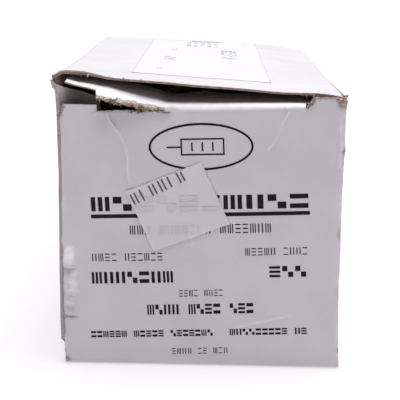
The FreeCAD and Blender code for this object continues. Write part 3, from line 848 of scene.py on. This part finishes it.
def front_tuck_face(x, s):
    """Coated side of the front tuck flap; at the left it has torn off its crease and risen."""
    foot = eased(x, CREASE_FOOT)
    radius = eased(x, CREASE_TOP) - foot
    up, inward = folded(s, 0, radius)
    rise = step_up(-x, 7.0, 9.5) * (along_path(x, FLAP_LINE) - foot - radius)
    sprung = np.where(x < -SLIT, 0.3, -0.35 * step_up(-x, 7, 10)) * fade(inward, 1.3)
    slope = 0.30 * step_up(-x, 6, 13) * (1 - 0.6 * step_up(-x, 24, 29))
    beyond = np.clip(inward - 0.5, 0, None)
    z = foot + up + rise + sprung + slope * 3.4 * (1 - fade(beyond, 3.4)) + 0.06 * beyond
    forward = front_lid_relief(x, LID_H - 2.5) + 0.5 * step_up(-x, 7, 12) + SPRUNG * step_up(-x, 12, 24)
    y = FRONT + inward - forward * fade(inward, 7)
    z = z + 0.05 * bumps(x, inward, 4, SEED_TUCK)
    ceiling = under_top(x, y) - 0.12
    z = np.minimum(z, ceiling) - 0.10 * fade(np.abs(ceiling - z), 0.3)
    return stack(leaning(x, z), y, z)


def rear_tuck_face(x, s):
    up, inward = folded(s, 0, TUCK_FOLD_R)
    beyond = np.clip(inward - 0.8, 0, None)
    z = LID_H - TUCK_FOLD_R + up - 0.10 * beyond + 0.04 * bumps(x, inward, 5, SEED_TUCK + 3)
    y = FRONT + inward - rear_lid_relief(x, LID_H - 2.5) * fade(inward, 1.2)
    return stack(leaning(x, z), -y, z)


def tuck_span(x, torn):
    """First and last path length of the flap at each place across."""
    full = TUCK_ARC + TUCK_REACH - TUCK_FOLD_R
    wing = np.abs(x) > SLIT
    first = np.where(wing, TUCK_ARC + 0.25, 0.0)
    if torn:
        gone = (x < TORN_FROM) & (x > -SLIT)
        ragged = 0.35 * bumps(x, x * 0, 2.1, 5.1) + 0.14 * bumps(x, x * 0, 0.7, 2.1)
        start = step_up(-x, -TORN_FROM, -TORN_TO) * np.maximum(TUCK_ARC * 0.2 + ragged, 0)
        first = np.where(gone, start, first)
        first = np.where(x < -SLIT, TUCK_ARC + 0.35 + 0.1 * ragged, first)
    corner = 6.0
    near = np.clip(np.abs(x) - (TUCK_HALF - corner), 0, corner)
    last = full - corner + np.sqrt(np.maximum(corner ** 2 - near ** 2, 0))
    return first, last


def tuck_wear(x, s, torn):
    first, last = tuck_span(x, torn)
    rim = fade(s - first, 0.14) * 0.5 * (np.abs(x) > SLIT)
    if torn:
        reach = 0.75 + 0.55 * bumps(x, x * 0, 2.6, 2.9) + 0.3 * bumps(x, x * 0, 0.8, 6.9)
        bared = hill(s, first, reach, 4)
        rim += 0.95 * bared * step_up(-x, 7.6, 9.0) * (x > -SLIT)
        rim += 0.30 * hill(s, TUCK_ARC * 0.4, 0.5) * hill(x, -6.5, 1.5)
    return np.clip(rim, 0, 1)


def bend_with_tuck(piece):
    """Bakes a piece's transform into its mesh."""
    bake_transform(piece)


def make_tuck(end, name, face, torn):
    """One tuck flap with the crease it shares with its lid."""
    marks = [-TUCK_HALF, -TUCK_HALF + 0.6, -SLIT - NOTCH, -SLIT + NOTCH, TORN_TO, TORN_FROM,
             SLIT - NOTCH, SLIT + NOTCH, TUCK_HALF - 0.6, TUCK_HALF]
    x = stops(marks, 0.38)
    rows = np.concatenate([stops([0, 0.16], 0.012), stops([0.16, 1], 0.035)[1:]])
    x_grid, share = np.meshgrid(x, rows, indexing="ij")
    first, last = tuck_span(x_grid, torn)
    s_grid = first + share * (last - first)
    pressed = fade(s_grid - first, 0.7) * (np.abs(x_grid) > SLIT)
    cracked = 0.34 * hill(s_grid, TUCK_ARC * 0.65, 0.9, 4) * (1 + 0.7 * bumps(x_grid, s_grid, 1.5, 3.9))
    piece = board(name, face, x_grid, s_grid, -end, thickness=BOARD * (0.72 - 0.4 * pressed), crease=cracked,
                  wear_and_shade=tuck_wear(x_grid, s_grid, torn), ragged=0.16 if torn else 0.05, seed=7.0)
    bend_with_tuck(piece)
    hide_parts(("front" if end < 0 else "rear") + "_tuck_flap")


# ------------------------------------------------------------------ dust flaps
DUST_LEAD = 0.5
DUST_R = 1.05
SHOULDER, TORN_WIDTH = 6.4, 9.3
TORN_SHOULDER = [(0, 64.9), (1.2, 64.2), (2.4, 63.4), (4, 62.6), (7, 61.4), (9, 60.8)]
WHOLE_SHOULDER = [(0, 61.6), (1.0, 61.2), (1.4, 59.6), (7, 59.4)]


def dust_face(end, side):
    """Coated side of a dust flap; s runs from the side wall round the fold to the tip."""
    spread = 1.0 if end < 0 else 0.2

    def face(s, z):
        along, inward = folded(s, DUST_LEAD, DUST_R)
        y = DUST_FACE + DUST_LEAD + DUST_R - along
        wall = HALF_W + spread * flare(np.full_like(z, -WALL_END), z, side) + 0.04
        swell = SWELL * swelling(WALL_END, z)
        x = side * (wall + swell - inward + 0.06 * bumps(z, z * 0, 6, SEED_DUST + side))
        y = y + 0.10 * np.clip(inward, 0, 12) / 12 + 0.05 * bumps(s, z, 7, SEED_DUST)
        if end < 0 and side < 0:
            y = y + DUST_SETBACK * step_up(inward, 0.7, 6.5) * step_up(z, 48, 60)
        return stack(leaning(x, z), y * -end, z)
    return face


def dust_limits(inward, tall, side, wide):
    """Lowest and highest point of a dust flap at a distance in from the wall."""
    foot = DUST_FOOT + np.clip(inward - 0.6, 0, None) * 0.96
    low_top = DUST_HIGH[2] - 1.5 - (inward - wide) * math.tan(math.radians(15))
    shoulder = DUST_HIGH[2] + 0.0 * inward
    if tall:
        shoulder = along_path(inward, TORN_SHOULDER if side < 0 else WHOLE_SHOULDER)
    top = np.where(inward < wide, shoulder, low_top)
    round_off = np.clip(inward - (HALF_W + DUST_TIP - 3.0), 0, 3.0)
    trim = 3.0 - np.sqrt(np.maximum(9.0 - round_off ** 2, 0))
    return foot + trim, top - trim


def make_dust(end, side):
    """One dust flap; side is -1 at the left and 1 at the right."""
    reach = DUST_LEAD + DUST_R * math.pi / 2 + HALF_W + DUST_TIP - DUST_R
    bend = DUST_LEAD + DUST_R * math.pi / 2
    wide = TORN_WIDTH if end < 0 and side < 0 else SHOULDER
    edge = bend + wide - DUST_R
    marks = [0, DUST_LEAD, bend, edge - 0.06, edge + 0.06, reach - 3, reach]
    s = np.unique(np.concatenate([stops(marks, 0.7), stops([DUST_LEAD, bend], 0.14)]))
    s_grid, share = np.meshgrid(s, stops([0, 1], 0.0125), indexing="ij")
    along, inward = folded(s_grid, DUST_LEAD, DUST_R)
    low, high = dust_limits(inward, end < 0, side, wide)
    z_grid = low + share * (high - low)
    fray = fade(z_grid - low, 0.5) + fade(high - z_grid, 0.5)
    wear_and_shade = 0.35 * fray * (inward < 2) + 0.18 * hill(s_grid, (DUST_LEAD + bend) / 2, 0.6)
    if end < 0 and side < 0:
        # Painted shade: the front left flap's upper part, deep behind the notch, and its fold by the wall are
        # darkened with the soil colour.
        wear_and_shade = np.clip(wear_and_shade, 0, 0.1) + 0.33 * step_up(z_grid, 56, 59) * step_up(inward, 0.5, 2.0)
        wear_and_shade = np.maximum(wear_and_shade, 0.34 * (1 - step_up(inward, 1.5, 3.0)))
    ends = "front" if end < 0 else "rear"
    sides = "left" if side < 0 else "right"
    body = f"{ends}_dust_{sides}"
    piece = board(body + "_board", dust_face(end, side), s_grid, z_grid, end * side,
                  wear_and_shade=np.clip(wear_and_shade, 0, 1), ragged=0.06, seed=9.0 + end + side)
    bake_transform(piece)
    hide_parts(f"{ends}_dust_flap_{sides}")


# ------------------------------------------------------------------ print
STICKER = [(-17.0, 40.8), (-11.0, 27.3), (6.2, 33.8), (-0.2, 47.7)]
PATCH_STEP = 0.9
INK_LIFT = 0.035


def within(p, u, v):
    """Bilinear place inside four corners."""
    u, v = u[..., None], v[..., None]
    return p[0] * (1 - u) * (1 - v) + p[1] * u * (1 - v) + p[2] * u * v + p[3] * (1 - u) * v


def patches(name, quads, place, look, body, lift=INK_LIFT):
    """Flat printed shapes that follow a surface. Each quad is four (a, b) corners in order."""
    vertices, faces = [], []
    for quad in quads:
        p = np.array(quad, float)
        wide = max(np.linalg.norm(p[1] - p[0]), np.linalg.norm(p[2] - p[3]))
        tall = max(np.linalg.norm(p[3] - p[0]), np.linalg.norm(p[2] - p[1]))
        n, m = max(1, math.ceil(wide / PATCH_STEP)), max(1, math.ceil(tall / PATCH_STEP))
        u, v = np.meshgrid(np.linspace(0, 1, n + 1), np.linspace(0, 1, m + 1), indexing="ij")
        at = within(p, u, v)
        start = sum(len(block) for block in vertices)
        vertices.append(place(at[..., 0], at[..., 1], lift).reshape(-1, 3))
        for i in range(n):
            for j in range(m):
                k = start + i * (m + 1) + j
                faces.append([k, k + m + 1, k + m + 2, k + 1])
    piece = mesh_object(name, np.concatenate(vertices), faces, [look])
    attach(piece, body)
    return piece


# Each mark is a set of bars (left, right, low, high) in a unit cell; none is a letter.
HEAVY_MARKS = [
    [(0, 1, 0, 0.33), (0, 1, 0.67, 1)],
    [(0.04, 0.36, 0, 1), (0.64, 0.96, 0, 1)],
    [(0, 1, 0, 0.22), (0, 1, 0.39, 0.61), (0, 1, 0.78, 1)],
    [(0, 0.24, 0, 1), (0.38, 0.62, 0, 1), (0.76, 1, 0, 1)],
    [(0, 0.47, 0.53, 1), (0.53, 1, 0, 0.47)],
]
LIGHT_MARKS = [
    [(0.04, 0.24, 0, 1), (0.62, 0.82, 0, 1)],
    [(0, 0.86, 0.0, 0.14), (0, 0.86, 0.86, 1)],
    [(0, 0.86, 0.0, 0.13), (0, 0.86, 0.43, 0.57), (0, 0.86, 0.87, 1)],
    [(0.0, 0.17, 0, 1), (0.35, 0.52, 0, 1), (0.70, 0.87, 0, 1)],
]


def turned(a, b, turn, origin):
    """A point turned about an origin and moved there."""
    c, s = math.cos(turn), math.sin(turn)
    return (origin[0] + a * c - b * s, origin[1] + a * s + b * c)


def bar(left, right, low, high, turn=0.0, origin=(0, 0)):
    """A quad turned about an origin."""
    return [turned(a, b, turn, origin) for a, b in ((left, low), (right, low), (right, high), (left, high))]


def line_of_marks(left, right, middle, height, words, marks, turn, seed):
    """A printed line as rows of plain marks: words gives how many stand in each group."""
    rng = np.random.default_rng(seed)
    cells = sum(words) + len(words) - 1
    pitch = (right - left) / cells
    quads, at = [], 0.0
    for count in words:
        for _ in range(count):
            for a0, a1, b0, b1 in marks[rng.integers(len(marks))]:
                quads.append(bar(at + a0 * pitch * 0.84, at + a1 * pitch * 0.84,
                                 (b0 - 0.5) * height, (b1 - 0.5) * height, turn, (left, middle)))
            at += pitch
        at += pitch
    return quads


def inside(quad, outline):
    """Whether every corner of a quad lies within a convex outline."""
    for x, z in quad:
        for (ax, az), (bx, bz) in zip(outline, outline[1:] + outline[:1]):
            if (bx - ax) * (z - az) - (bz - az) * (x - ax) < 0.15:
                return False
    return True


def make_print():
    """Plain stand-ins for the lid's printed lines, and an oval mark with a silencer symbol."""
    turn = math.atan(PRINT_SLOPE)

    def lean_back(x, z):
        return x + LEAN * z / LEFT_H

    heavy, light = [], []
    rows = [
        (heavy, -25.7, 23.6, 37.65, 3.25, [10], HEAVY_MARKS, 5),
        (heavy, -25.5, -6.7, 20.55, 2.7, [7], HEAVY_MARKS, 8),
        (heavy, 14.6, 23.4, 22.85, 2.6, [3], HEAVY_MARKS, 9),
        (heavy, -12.9, 11.6, 13.3, 2.4, [4, 4, 3], HEAVY_MARKS, 10),
        (heavy, -25.7, 2.4, 7.1, 1.5, [6, 5, 7], HEAVY_MARKS, 11),
        (heavy, 6.0, 23.9, 8.35, 1.5, [9, 2], HEAVY_MARKS, 12),
        (light, -17.0, 15.1, 31.9, 2.1, [3, 7, 7], LIGHT_MARKS, 13),
        (light, -25.5, -9.2, 25.3, 1.75, [4, 6], LIGHT_MARKS, 14),
        (light, 9.0, 23.4, 27.4, 1.7, [5, 4], LIGHT_MARKS, 15),
        (light, -5.7, 4.5, 17.35, 1.5, [4, 4], LIGHT_MARKS, 16),
        (light, -7.1, 6.0, 3.45, 1.4, [4, 2, 3], LIGHT_MARKS, 17),
    ]
    for group, left, right, middle, height, words, marks, seed in rows:
        shift = LEAN * middle / LEFT_H
        group += line_of_marks(left + shift, right + shift, middle, height, words, marks, turn, seed)
    under = [(lean_back(-25.7, 34.4), 34.4), (lean_back(23.2, 36.3), 36.3),
             (lean_back(23.2, 36.9), 36.3 + 0.88), (lean_back(-25.7, 35.0), 34.4 + 0.88)]
    heavy.append(under)
    patches("lid_print_bold", heavy, on_front_lid, INK, "front_lid")
    patches("lid_print_fine", light, on_front_lid, INK, "front_lid")
    covered = [quad for quad in heavy + light if inside(quad, STICKER)]
    patches("sticker_ghost_print", covered, on_front_lid, GHOST_INK, "front_lid", lift=0.23)
    make_mark(turn)


def oval_ring(centre, half_a, half_b, width, turn, count=48):
    """An oval line as short quads."""
    quads = []

    def at(angle, inset):
        a, b = (half_a - inset) * math.cos(angle), (half_b - inset) * math.sin(angle)
        return turned(a, b, turn, centre)

    for i in range(count):
        first, second = 2 * math.pi * i / count, 2 * math.pi * (i + 1) / count
        quads.append([at(first, 0), at(second, 0), at(second, width), at(first, width)])
    return quads


def make_mark(turn):
    """A plain oval round the standard circuit symbol of a silencer: a box with three strokes."""
    centre = (-1.4 + LEAN * 51.2 / LEFT_H, 51.2)
    quads = oval_ring(centre, 11.6, 5.3, 0.5, turn)
    for left, right, low, high in [(-4.2, 4.8, 1.55, 1.9), (-4.2, 4.8, -1.9, -1.55), (-4.55, -4.2, -1.9, 1.9),
                                   (4.8, 5.15, -1.9, 1.9), (-2.2, -1.85, -1.0, 1.0), (0.1, 0.45, -1.0, 1.0),
                                   (2.4, 2.75, -1.0, 1.0), (-7.6, -4.55, -0.2, 0.15)]:
        quads.append(bar(left, right, low, high, turn, centre))
    patches("lid_mark", quads, on_front_lid, INK, "front_lid")


# ------------------------------------------------------------------ sticker and label
def on_sticker(u, v, lift):
    """A place on the sticker, whose edges peel a little."""
    at = within(np.array(STICKER), u, v)
    peel = 0.12 * fade(np.minimum(np.minimum(u, 1 - u), np.minimum(v, 1 - v)), 0.03)
    wave = 0.05 * bumps(at[..., 0], at[..., 1], 3.0, SEED_PAPER)
    return on_front_lid(at[..., 0], at[..., 1], lift + 0.14 + peel + wave)


def make_sticker():
    """A thin paper patch over the print, with slanting ticks for its stamped number; the print under it is
    drawn faintly by make_print.
    """
    line = stops([0, 1], 0.025)
    u, v = np.meshgrid(line, line, indexing="ij")
    frayed = 0.010 * bumps(u * 20, v * 20, 1.3, 6.3)
    u = u + frayed * (np.abs(u - 0.5) > 0.49)
    v = v + frayed * (np.abs(v - 0.5) > 0.49)
    piece = board("sticker_patch", lambda a, b: on_sticker(a, b, 0.0), u, v, 1, thickness=0.07,
                  ragged=0.02, slots=[STICKER_PAPER] * 3, seed=3.0)
    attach(piece, "front_lid")
    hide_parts("number_sticker")
    start, direction = (-15.6, 38.9), math.atan2(6.3, 12.2)
    quads = []
    for i in range(6):
        at = i * 2.3
        tall = 2.5 + 0.2 * (i % 2)
        quads.append(bar(at, at + 0.36, -tall / 2, tall / 2, direction, start))
        if i % 3 != 1:
            quads.append(bar(at + 0.95, at + 1.3, -tall / 2, tall / 2, direction, start))
    patches("sticker_ticks", quads, on_front_lid, GREY_INK, "front_lid", lift=0.24)


def on_top(x, y, lift):
    """A point of the top panel's outer face, raised by lift."""
    z = top_height(x, y) + top_lumps(3 * HALF_W + NOMINAL_H - x, y)
    return stack(leaning(x, z), y, z + lift)


LABEL_LOW, LABEL_HIGH = corners("shipping_label")
LABEL_AT = ((LABEL_LOW[0] + LABEL_HIGH[0]) / 2 + LEAN + 0.7, (LABEL_LOW[1] + LABEL_HIGH[1]) / 2 + 2.0)
LABEL_HALF = (16.25, 52.0)
LABEL_TURN = math.radians(-0.4)


def on_label(a, b, lift):
    """A place on the top label: a across and b along from its middle."""
    x, y = turned(a, b, LABEL_TURN, LABEL_AT)
    curl = 0.06 * fade(LABEL_HALF[0] - np.abs(a), 1.2) * fade(LABEL_HALF[1] - np.abs(b), 3.0)
    return on_top(x, y, lift + curl)


def run_along(a, start, end, height, words, seed):
    """A line of marks that reads along the label."""
    flat = line_of_marks(start, end, 0.0, height, words, LIGHT_MARKS, 0.0, seed)
    return [[(a - across, along) for along, across in quad] for quad in flat]


def make_label():
    """Address label: a thin border, lines of plain marks, a bar code and a dense block."""
    w, l = LABEL_HALF
    a, b = np.meshgrid(stops([-w, w], 1.3), stops([-l, l], 1.3), indexing="ij")
    piece = board("label_sheet", lambda p, q: on_label(p, q, 0.07), a, b, 1, thickness=0.05, ragged=0.01,
                  slots=[LABEL_PAPER] * 3, seed=5.0)
    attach(piece, "sleeve")
    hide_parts("shipping_label")
    line = 0.2
    border = [bar(-w, w, -l, -l + line), bar(-w, w, l - line, l), bar(-w, -w + line, -l, l),
              bar(w - line, w, -l, l)]
    for i in range(3):
        border += run_along(-10.5 + i, -41 + i * 27, -33 + i * 27, 1.5, [2, 3], 21 + i)
    border += run_along(-8.0, -16, -6, 1.3, [5], 31)
    for i in range(5):
        border += run_along(-4.6 + i * 2.1, 28, 44, 1.1, [5, 4], 41 + i)
    for i in range(8):
        border += run_along(5.6 + (i % 4) * 1.15, -4 + (i // 4) * 12, 7 + (i // 4) * 12, 0.95, [4, 3], 51 + i)
    rng = np.random.default_rng(7)
    at = 46.0
    while at < 50.0:
        width = rng.choice([0.15, 0.3, 0.45])
        border.append(bar(-4.0, 5.0, at, at + width))
        at += width + rng.choice([0.15, 0.3])
    patches("label_print", border, on_label, FAINT_INK, "sleeve", lift=0.09)


# ------------------------------------------------------------------ torn fibres
def tube_faces(base, steps, sides):
    """Faces of a closed tube of rings, whose vertices start at base."""
    faces = []
    for p in range(base, base + steps * sides, sides):
        for k in range(sides):
            n = (k + 1) % sides
            faces.append([p + k, p + n, p + sides + n, p + sides + k])
    last = base + steps * sides
    return faces + [[base + k for k in reversed(range(sides))], [last + k for k in range(sides)]]


def strand(rng, start, way, length, radius, spread):
    """One bent three-sided fibre: vertices and faces."""
    points = [np.array(start, float)]
    heading = np.array(way, float) + rng.normal(0, spread, 3)
    for _ in range(4):
        heading = heading / np.linalg.norm(heading) + rng.normal(0, 0.35, 3)
        points.append(points[-1] + heading / np.linalg.norm(heading) * length / 4)
    vertices = []
    for i, p in enumerate(points):
        size = radius * (1 - 0.8 * i / 4)
        for k in range(3):
            angle = 2 * math.pi * k / 3
            vertices.append(p + size * np.array([math.cos(angle), math.sin(angle) * 0.6, math.sin(angle)]))
    return vertices, tube_faces(0, 4, 3)


def flake(rng, start, way, size):
    """A small curled scrap of the board's brown layer, as a closed thin piece."""
    way = np.array(way, float) + rng.normal(0, 0.5, 3)
    way /= np.linalg.norm(way)
    side = np.cross(way, rng.normal(0, 1, 3))
    side /= np.linalg.norm(side)
    up = np.cross(side, way)
    vertices, faces = [], []
    for layer in (0, 1):
        for i in range(4):
            t = i / 3
            width = size * 0.45 * (1 - 0.6 * t) * rng.uniform(0.7, 1.3)
            centre = np.array(start) + way * size * t + up * (0.35 * size * t * t + layer * 0.12)
            vertices += [centre - side * width, centre + side * width]
    for i in range(3):
        k = 2 * i
        faces += [[k, k + 2, k + 3, k + 1], [k + 8, k + 9, k + 11, k + 10],
                  [k, k + 8, k + 10, k + 2], [k + 1, k + 3, k + 11, k + 9]]
    faces += [[0, 1, 9, 8], [6, 14, 15, 7]]
    return vertices, faces


def fray(name, seed, groups):
    """Loose fibres and scraps. A group is (start, end, way, fibres, length, scraps)."""
    rng = np.random.default_rng(seed)
    vertices, faces, kinds = [], [], []

    def add(made, kind=0):
        base = len(vertices)
        vertices.extend(made[0])
        faces.extend([[base + v for v in f] for f in made[1]])
        kinds.extend([kind] * len(made[1]))

    for start, end, way, count, length, scraps in groups:
        for _ in range(count):
            t = rng.uniform()
            at = np.array(start) * (1 - t) + np.array(end) * t + rng.normal(0, 0.08, 3)
            add(strand(rng, at, way, length * rng.uniform(0.5, 1.2), rng.uniform(0.03, 0.07), 0.45))
        for _ in range(scraps):
            t = rng.uniform()
            at = np.array(start) * (1 - t) + np.array(end) * t
            add(flake(rng, at, way, length * rng.uniform(0.45, 0.9)), int(rng.uniform() < 0.15))
    piece = mesh_object(name, vertices, faces, [BOARD_LOOK[2], BOARD_LOOK[0]], kinds)
    tidy_normals(piece)
    return piece


def edge_point(x, drop=0.5):
    """A place on the top panel's front cut edge."""
    z = float(top_height(np.array(float(x)), np.array(FRONT))) - drop
    return (leaning(x, z), FRONT + float(rim_retreat(x)), z)


def lid_edge(x, drop=0.2):
    """A place on the front lid's upper edge."""
    z = float(front_lid_top(np.array(float(x)))) - drop
    return (leaning(x, z), FRONT - float(front_lid_relief(np.array(float(x)), np.array(z))), z)


def make_fibres():
    left, right = leaning(-HALF_W - 1.5, 65), leaning(HALF_W, 63)
    sleeve = fray("sleeve_fibres", 4, [
        (edge_point(-31), edge_point(-24), (0.5, -1, -0.3), 16, 0.7, 5),
        (edge_point(-24), edge_point(24), (0.8, -1, -0.2), 30, 0.5, 10),
        (edge_point(22), edge_point(31), (0.9, -1, -0.2), 14, 0.8, 12),
        ((left, FRONT + 2.4, 65.2), (left + 1.0, FRONT + 2.8, 63.2), (0.3, -1, -0.6), 22, 1.0, 14),
        ((right, FRONT + 1.4, 63.0), (right - 0.2, FRONT + 1.9, 61.2), (0.9, -0.7, -0.1), 10, 0.7, 8),
    ])
    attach(sleeve, "sleeve")
    lid = fray("lid_fibres", 8, [
        (lid_edge(SLIT + 0.1), lid_edge(SLIT + 2.0), (0.8, -0.8, 0.4), 10, 0.8, 12),
        (lid_edge(SLIT + 2.2), lid_edge(LID_HALF - 0.5), (0.8, -0.8, 0.3), 10, 0.5, 5),
        (lid_edge(LID_HALF - 2.2), lid_edge(LID_HALF - 0.2), (0.9, -0.6, 0.2), 8, 0.8, 9),
        ((leaning(-LID_HALF, 57), FRONT - PROUD, 57.0), (leaning(-LID_HALF + 0.8, 59.8), FRONT - PROUD, 59.6),
         (0.4, -1, 0.8), 10, 0.8, 9),
        (lid_edge(-SLIT + 3), lid_edge(-8), (1.0, -0.5, 0.15), 10, 0.7, 12),
        (lid_edge(-15), lid_edge(-7), (1.0, -0.5, 0.2), 12, 1.2, 16),
    ])
    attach(lid, "front_lid")
    torn = [tuple(front_tuck_face(np.array([[x]]), np.array([[0.35]]))[0, 0])
            for x in (-22.6, -20.0, -16.0, -12.0, -8.0)]
    tuck = fray("tuck_fibres", 12, [
        (torn[0], torn[1], (1.0, -0.4, 0.05), 8, 1.2, 9),
        (torn[1], torn[2], (1.0, -0.4, 0.0), 12, 1.3, 13),
        (torn[2], torn[3], (1.0, -0.4, -0.05), 12, 1.2, 14),
        (torn[3], torn[4], (1.0, -0.5, 0.0), 8, 0.9, 8),
    ])
    bend_with_tuck(tuck)


# ------------------------------------------------------------------ muffler
MESH_LOW, MESH_HIGH = corners("mesh_sleeve")


def make_wire_mesh():
    """Crossing helical wires in place of the plain mesh tube."""
    radius = (MESH_HIGH[0] - MESH_LOW[0]) / 2 - 0.35
    start, end = MESH_LOW[1] + 0.3, MESH_HIGH[1] - 0.3
    centre_z = (MESH_HIGH[2] + MESH_LOW[2]) / 2
    wires, turns, steps, sides, wire_r = 64, 0.55, 42, 4, 0.2
    vertices, faces = [], []
    for way in (-1, 1):
        for w in range(wires):
            base = len(vertices)
            for i in range(steps + 1):
                t = i / steps
                angle = 2 * math.pi * (w / wires + way * turns * t)
                middle = np.array([math.cos(angle), 0, math.sin(angle)]) * (radius + way * 0.17)
                middle += np.array([0, start + (end - start) * t, centre_z])
                out = np.array([math.cos(angle), 0, math.sin(angle)])
                for k in range(sides):
                    a = 2 * math.pi * k / sides
                    vertices.append(middle + wire_r * (math.cos(a) * out + math.sin(a) * np.array([0, 1, 0])))
            faces += tube_faces(base, steps, sides)
    piece = mesh_object("wire_mesh", vertices, faces, [WIRE], crease_angle=80)
    tidy_normals(piece)
    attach(piece, "muffler")
    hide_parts("mesh_sleeve")


def dress_muffler():
    """Gives each CAD piece of the muffler its material."""
    looks = {
        "inlet_nipple": TURNED_STEEL, "base_cup": SATIN_ALLOY, "end_cap": SATIN_ALLOY,
        "perforated_shell": SHEET_STEEL, "core_tube": SHEET_STEEL, "felt_sleeve": FELT,
        "fibre_pack": FIBRE_PACK, "base_gasket": GASKET, "cap_gasket": GASKET, "tie_rod": ZINC_PLATE,
        "rod_lock_nut": ZINC_PLATE, "flat_washer": ZINC_PLATE, "lock_washer": ZINC_PLATE,
        "acorn_nut": ZINC_PLATE,
    }
    for node, look in looks.items():
        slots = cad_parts[node].material_slots
        for slot in slots:
            slot.link = "OBJECT"
            slot.material = look


# ------------------------------------------------------------------ stage
def make_stage():
    """Camera, pale floor, a broad sun from above and a little light from all round."""
    scene = bpy.context.scene
    lens = bpy.data.cameras.new("camera")
    lens.lens = 99.0
    lens.sensor_width = 36.0
    lens.clip_start = 0.01
    camera = bpy.data.objects.new("camera", lens)
    stand = Vector((-1.78, -303.5, 90.3)) * MM
    pitch, yaw, roll = math.radians(12.05), math.radians(-0.09), math.radians(1.2)
    aim = Euler((math.radians(90) - pitch, 0, yaw), "XYZ").to_matrix()
    camera.matrix_world = Matrix.Translation(stand) @ (aim @ Matrix.Rotation(roll, 3, "Z")).to_4x4()
    scene.collection.objects.link(camera)
    scene.camera = camera

    floor_mesh = bpy.data.meshes.new("floor")
    reach = 80.0
    floor_mesh.from_pydata([(-reach, -reach, 0), (reach, -reach, 0), (reach, reach, 0), (-reach, reach, 0)],
                           [], [(0, 1, 2, 3)])
    floor_mesh.materials.append(material("floor_paper", (0.32, 0.305, 0.315), 0.9,
                                         Emission_Color=(1, 0.965, 0.985, 1), Emission_Strength=0.59))
    floor = bpy.data.objects.new("floor", floor_mesh)
    floor.location.z = -0.15 * MM
    scene.collection.objects.link(floor)

    sun = bpy.data.lights.new("sun", "SUN")
    sun.energy = 5.0
    sun.color = (0.985, 1.0, 1.015)
    sun.angle = math.radians(60)
    lamp = bpy.data.objects.new("sun", sun)
    lamp.rotation_euler = (math.radians(-2), math.radians(6), 0)
    scene.collection.objects.link(lamp)

    world = bpy.data.worlds.new("surround")
    world.use_nodes = True
    background = world.node_tree.nodes["Background"]
    background.inputs["Color"].default_value = (0.96, 0.96, 1.0, 1)
    background.inputs["Strength"].default_value = 0.10
    scene.world = world
    scene.view_settings.view_transform = "Standard"


def build():
    make_stage()
    make_sleeve()
    make_glue_flap()
    make_lid(-1, "front_lid_board", front_lid_relief, front_lid_top, front_lid_wear_and_shade, front_lid_cracks_and_highlights, 0.25)
    make_lid(1, "rear_lid_board", rear_lid_relief, rear_lid_top, rear_lid_wear, rear_lid_cracks, 0.5)
    make_tuck(-1, "front_tuck_board", front_tuck_face, True)
    make_tuck(1, "rear_tuck_board", rear_tuck_face, False)
    for end in (-1, 1):
        for side in (-1, 1):
            make_dust(end, side)
    make_print()
    make_sticker()
    make_label()
    make_fibres()
    make_wire_mesh()
    dress_muffler()


build()
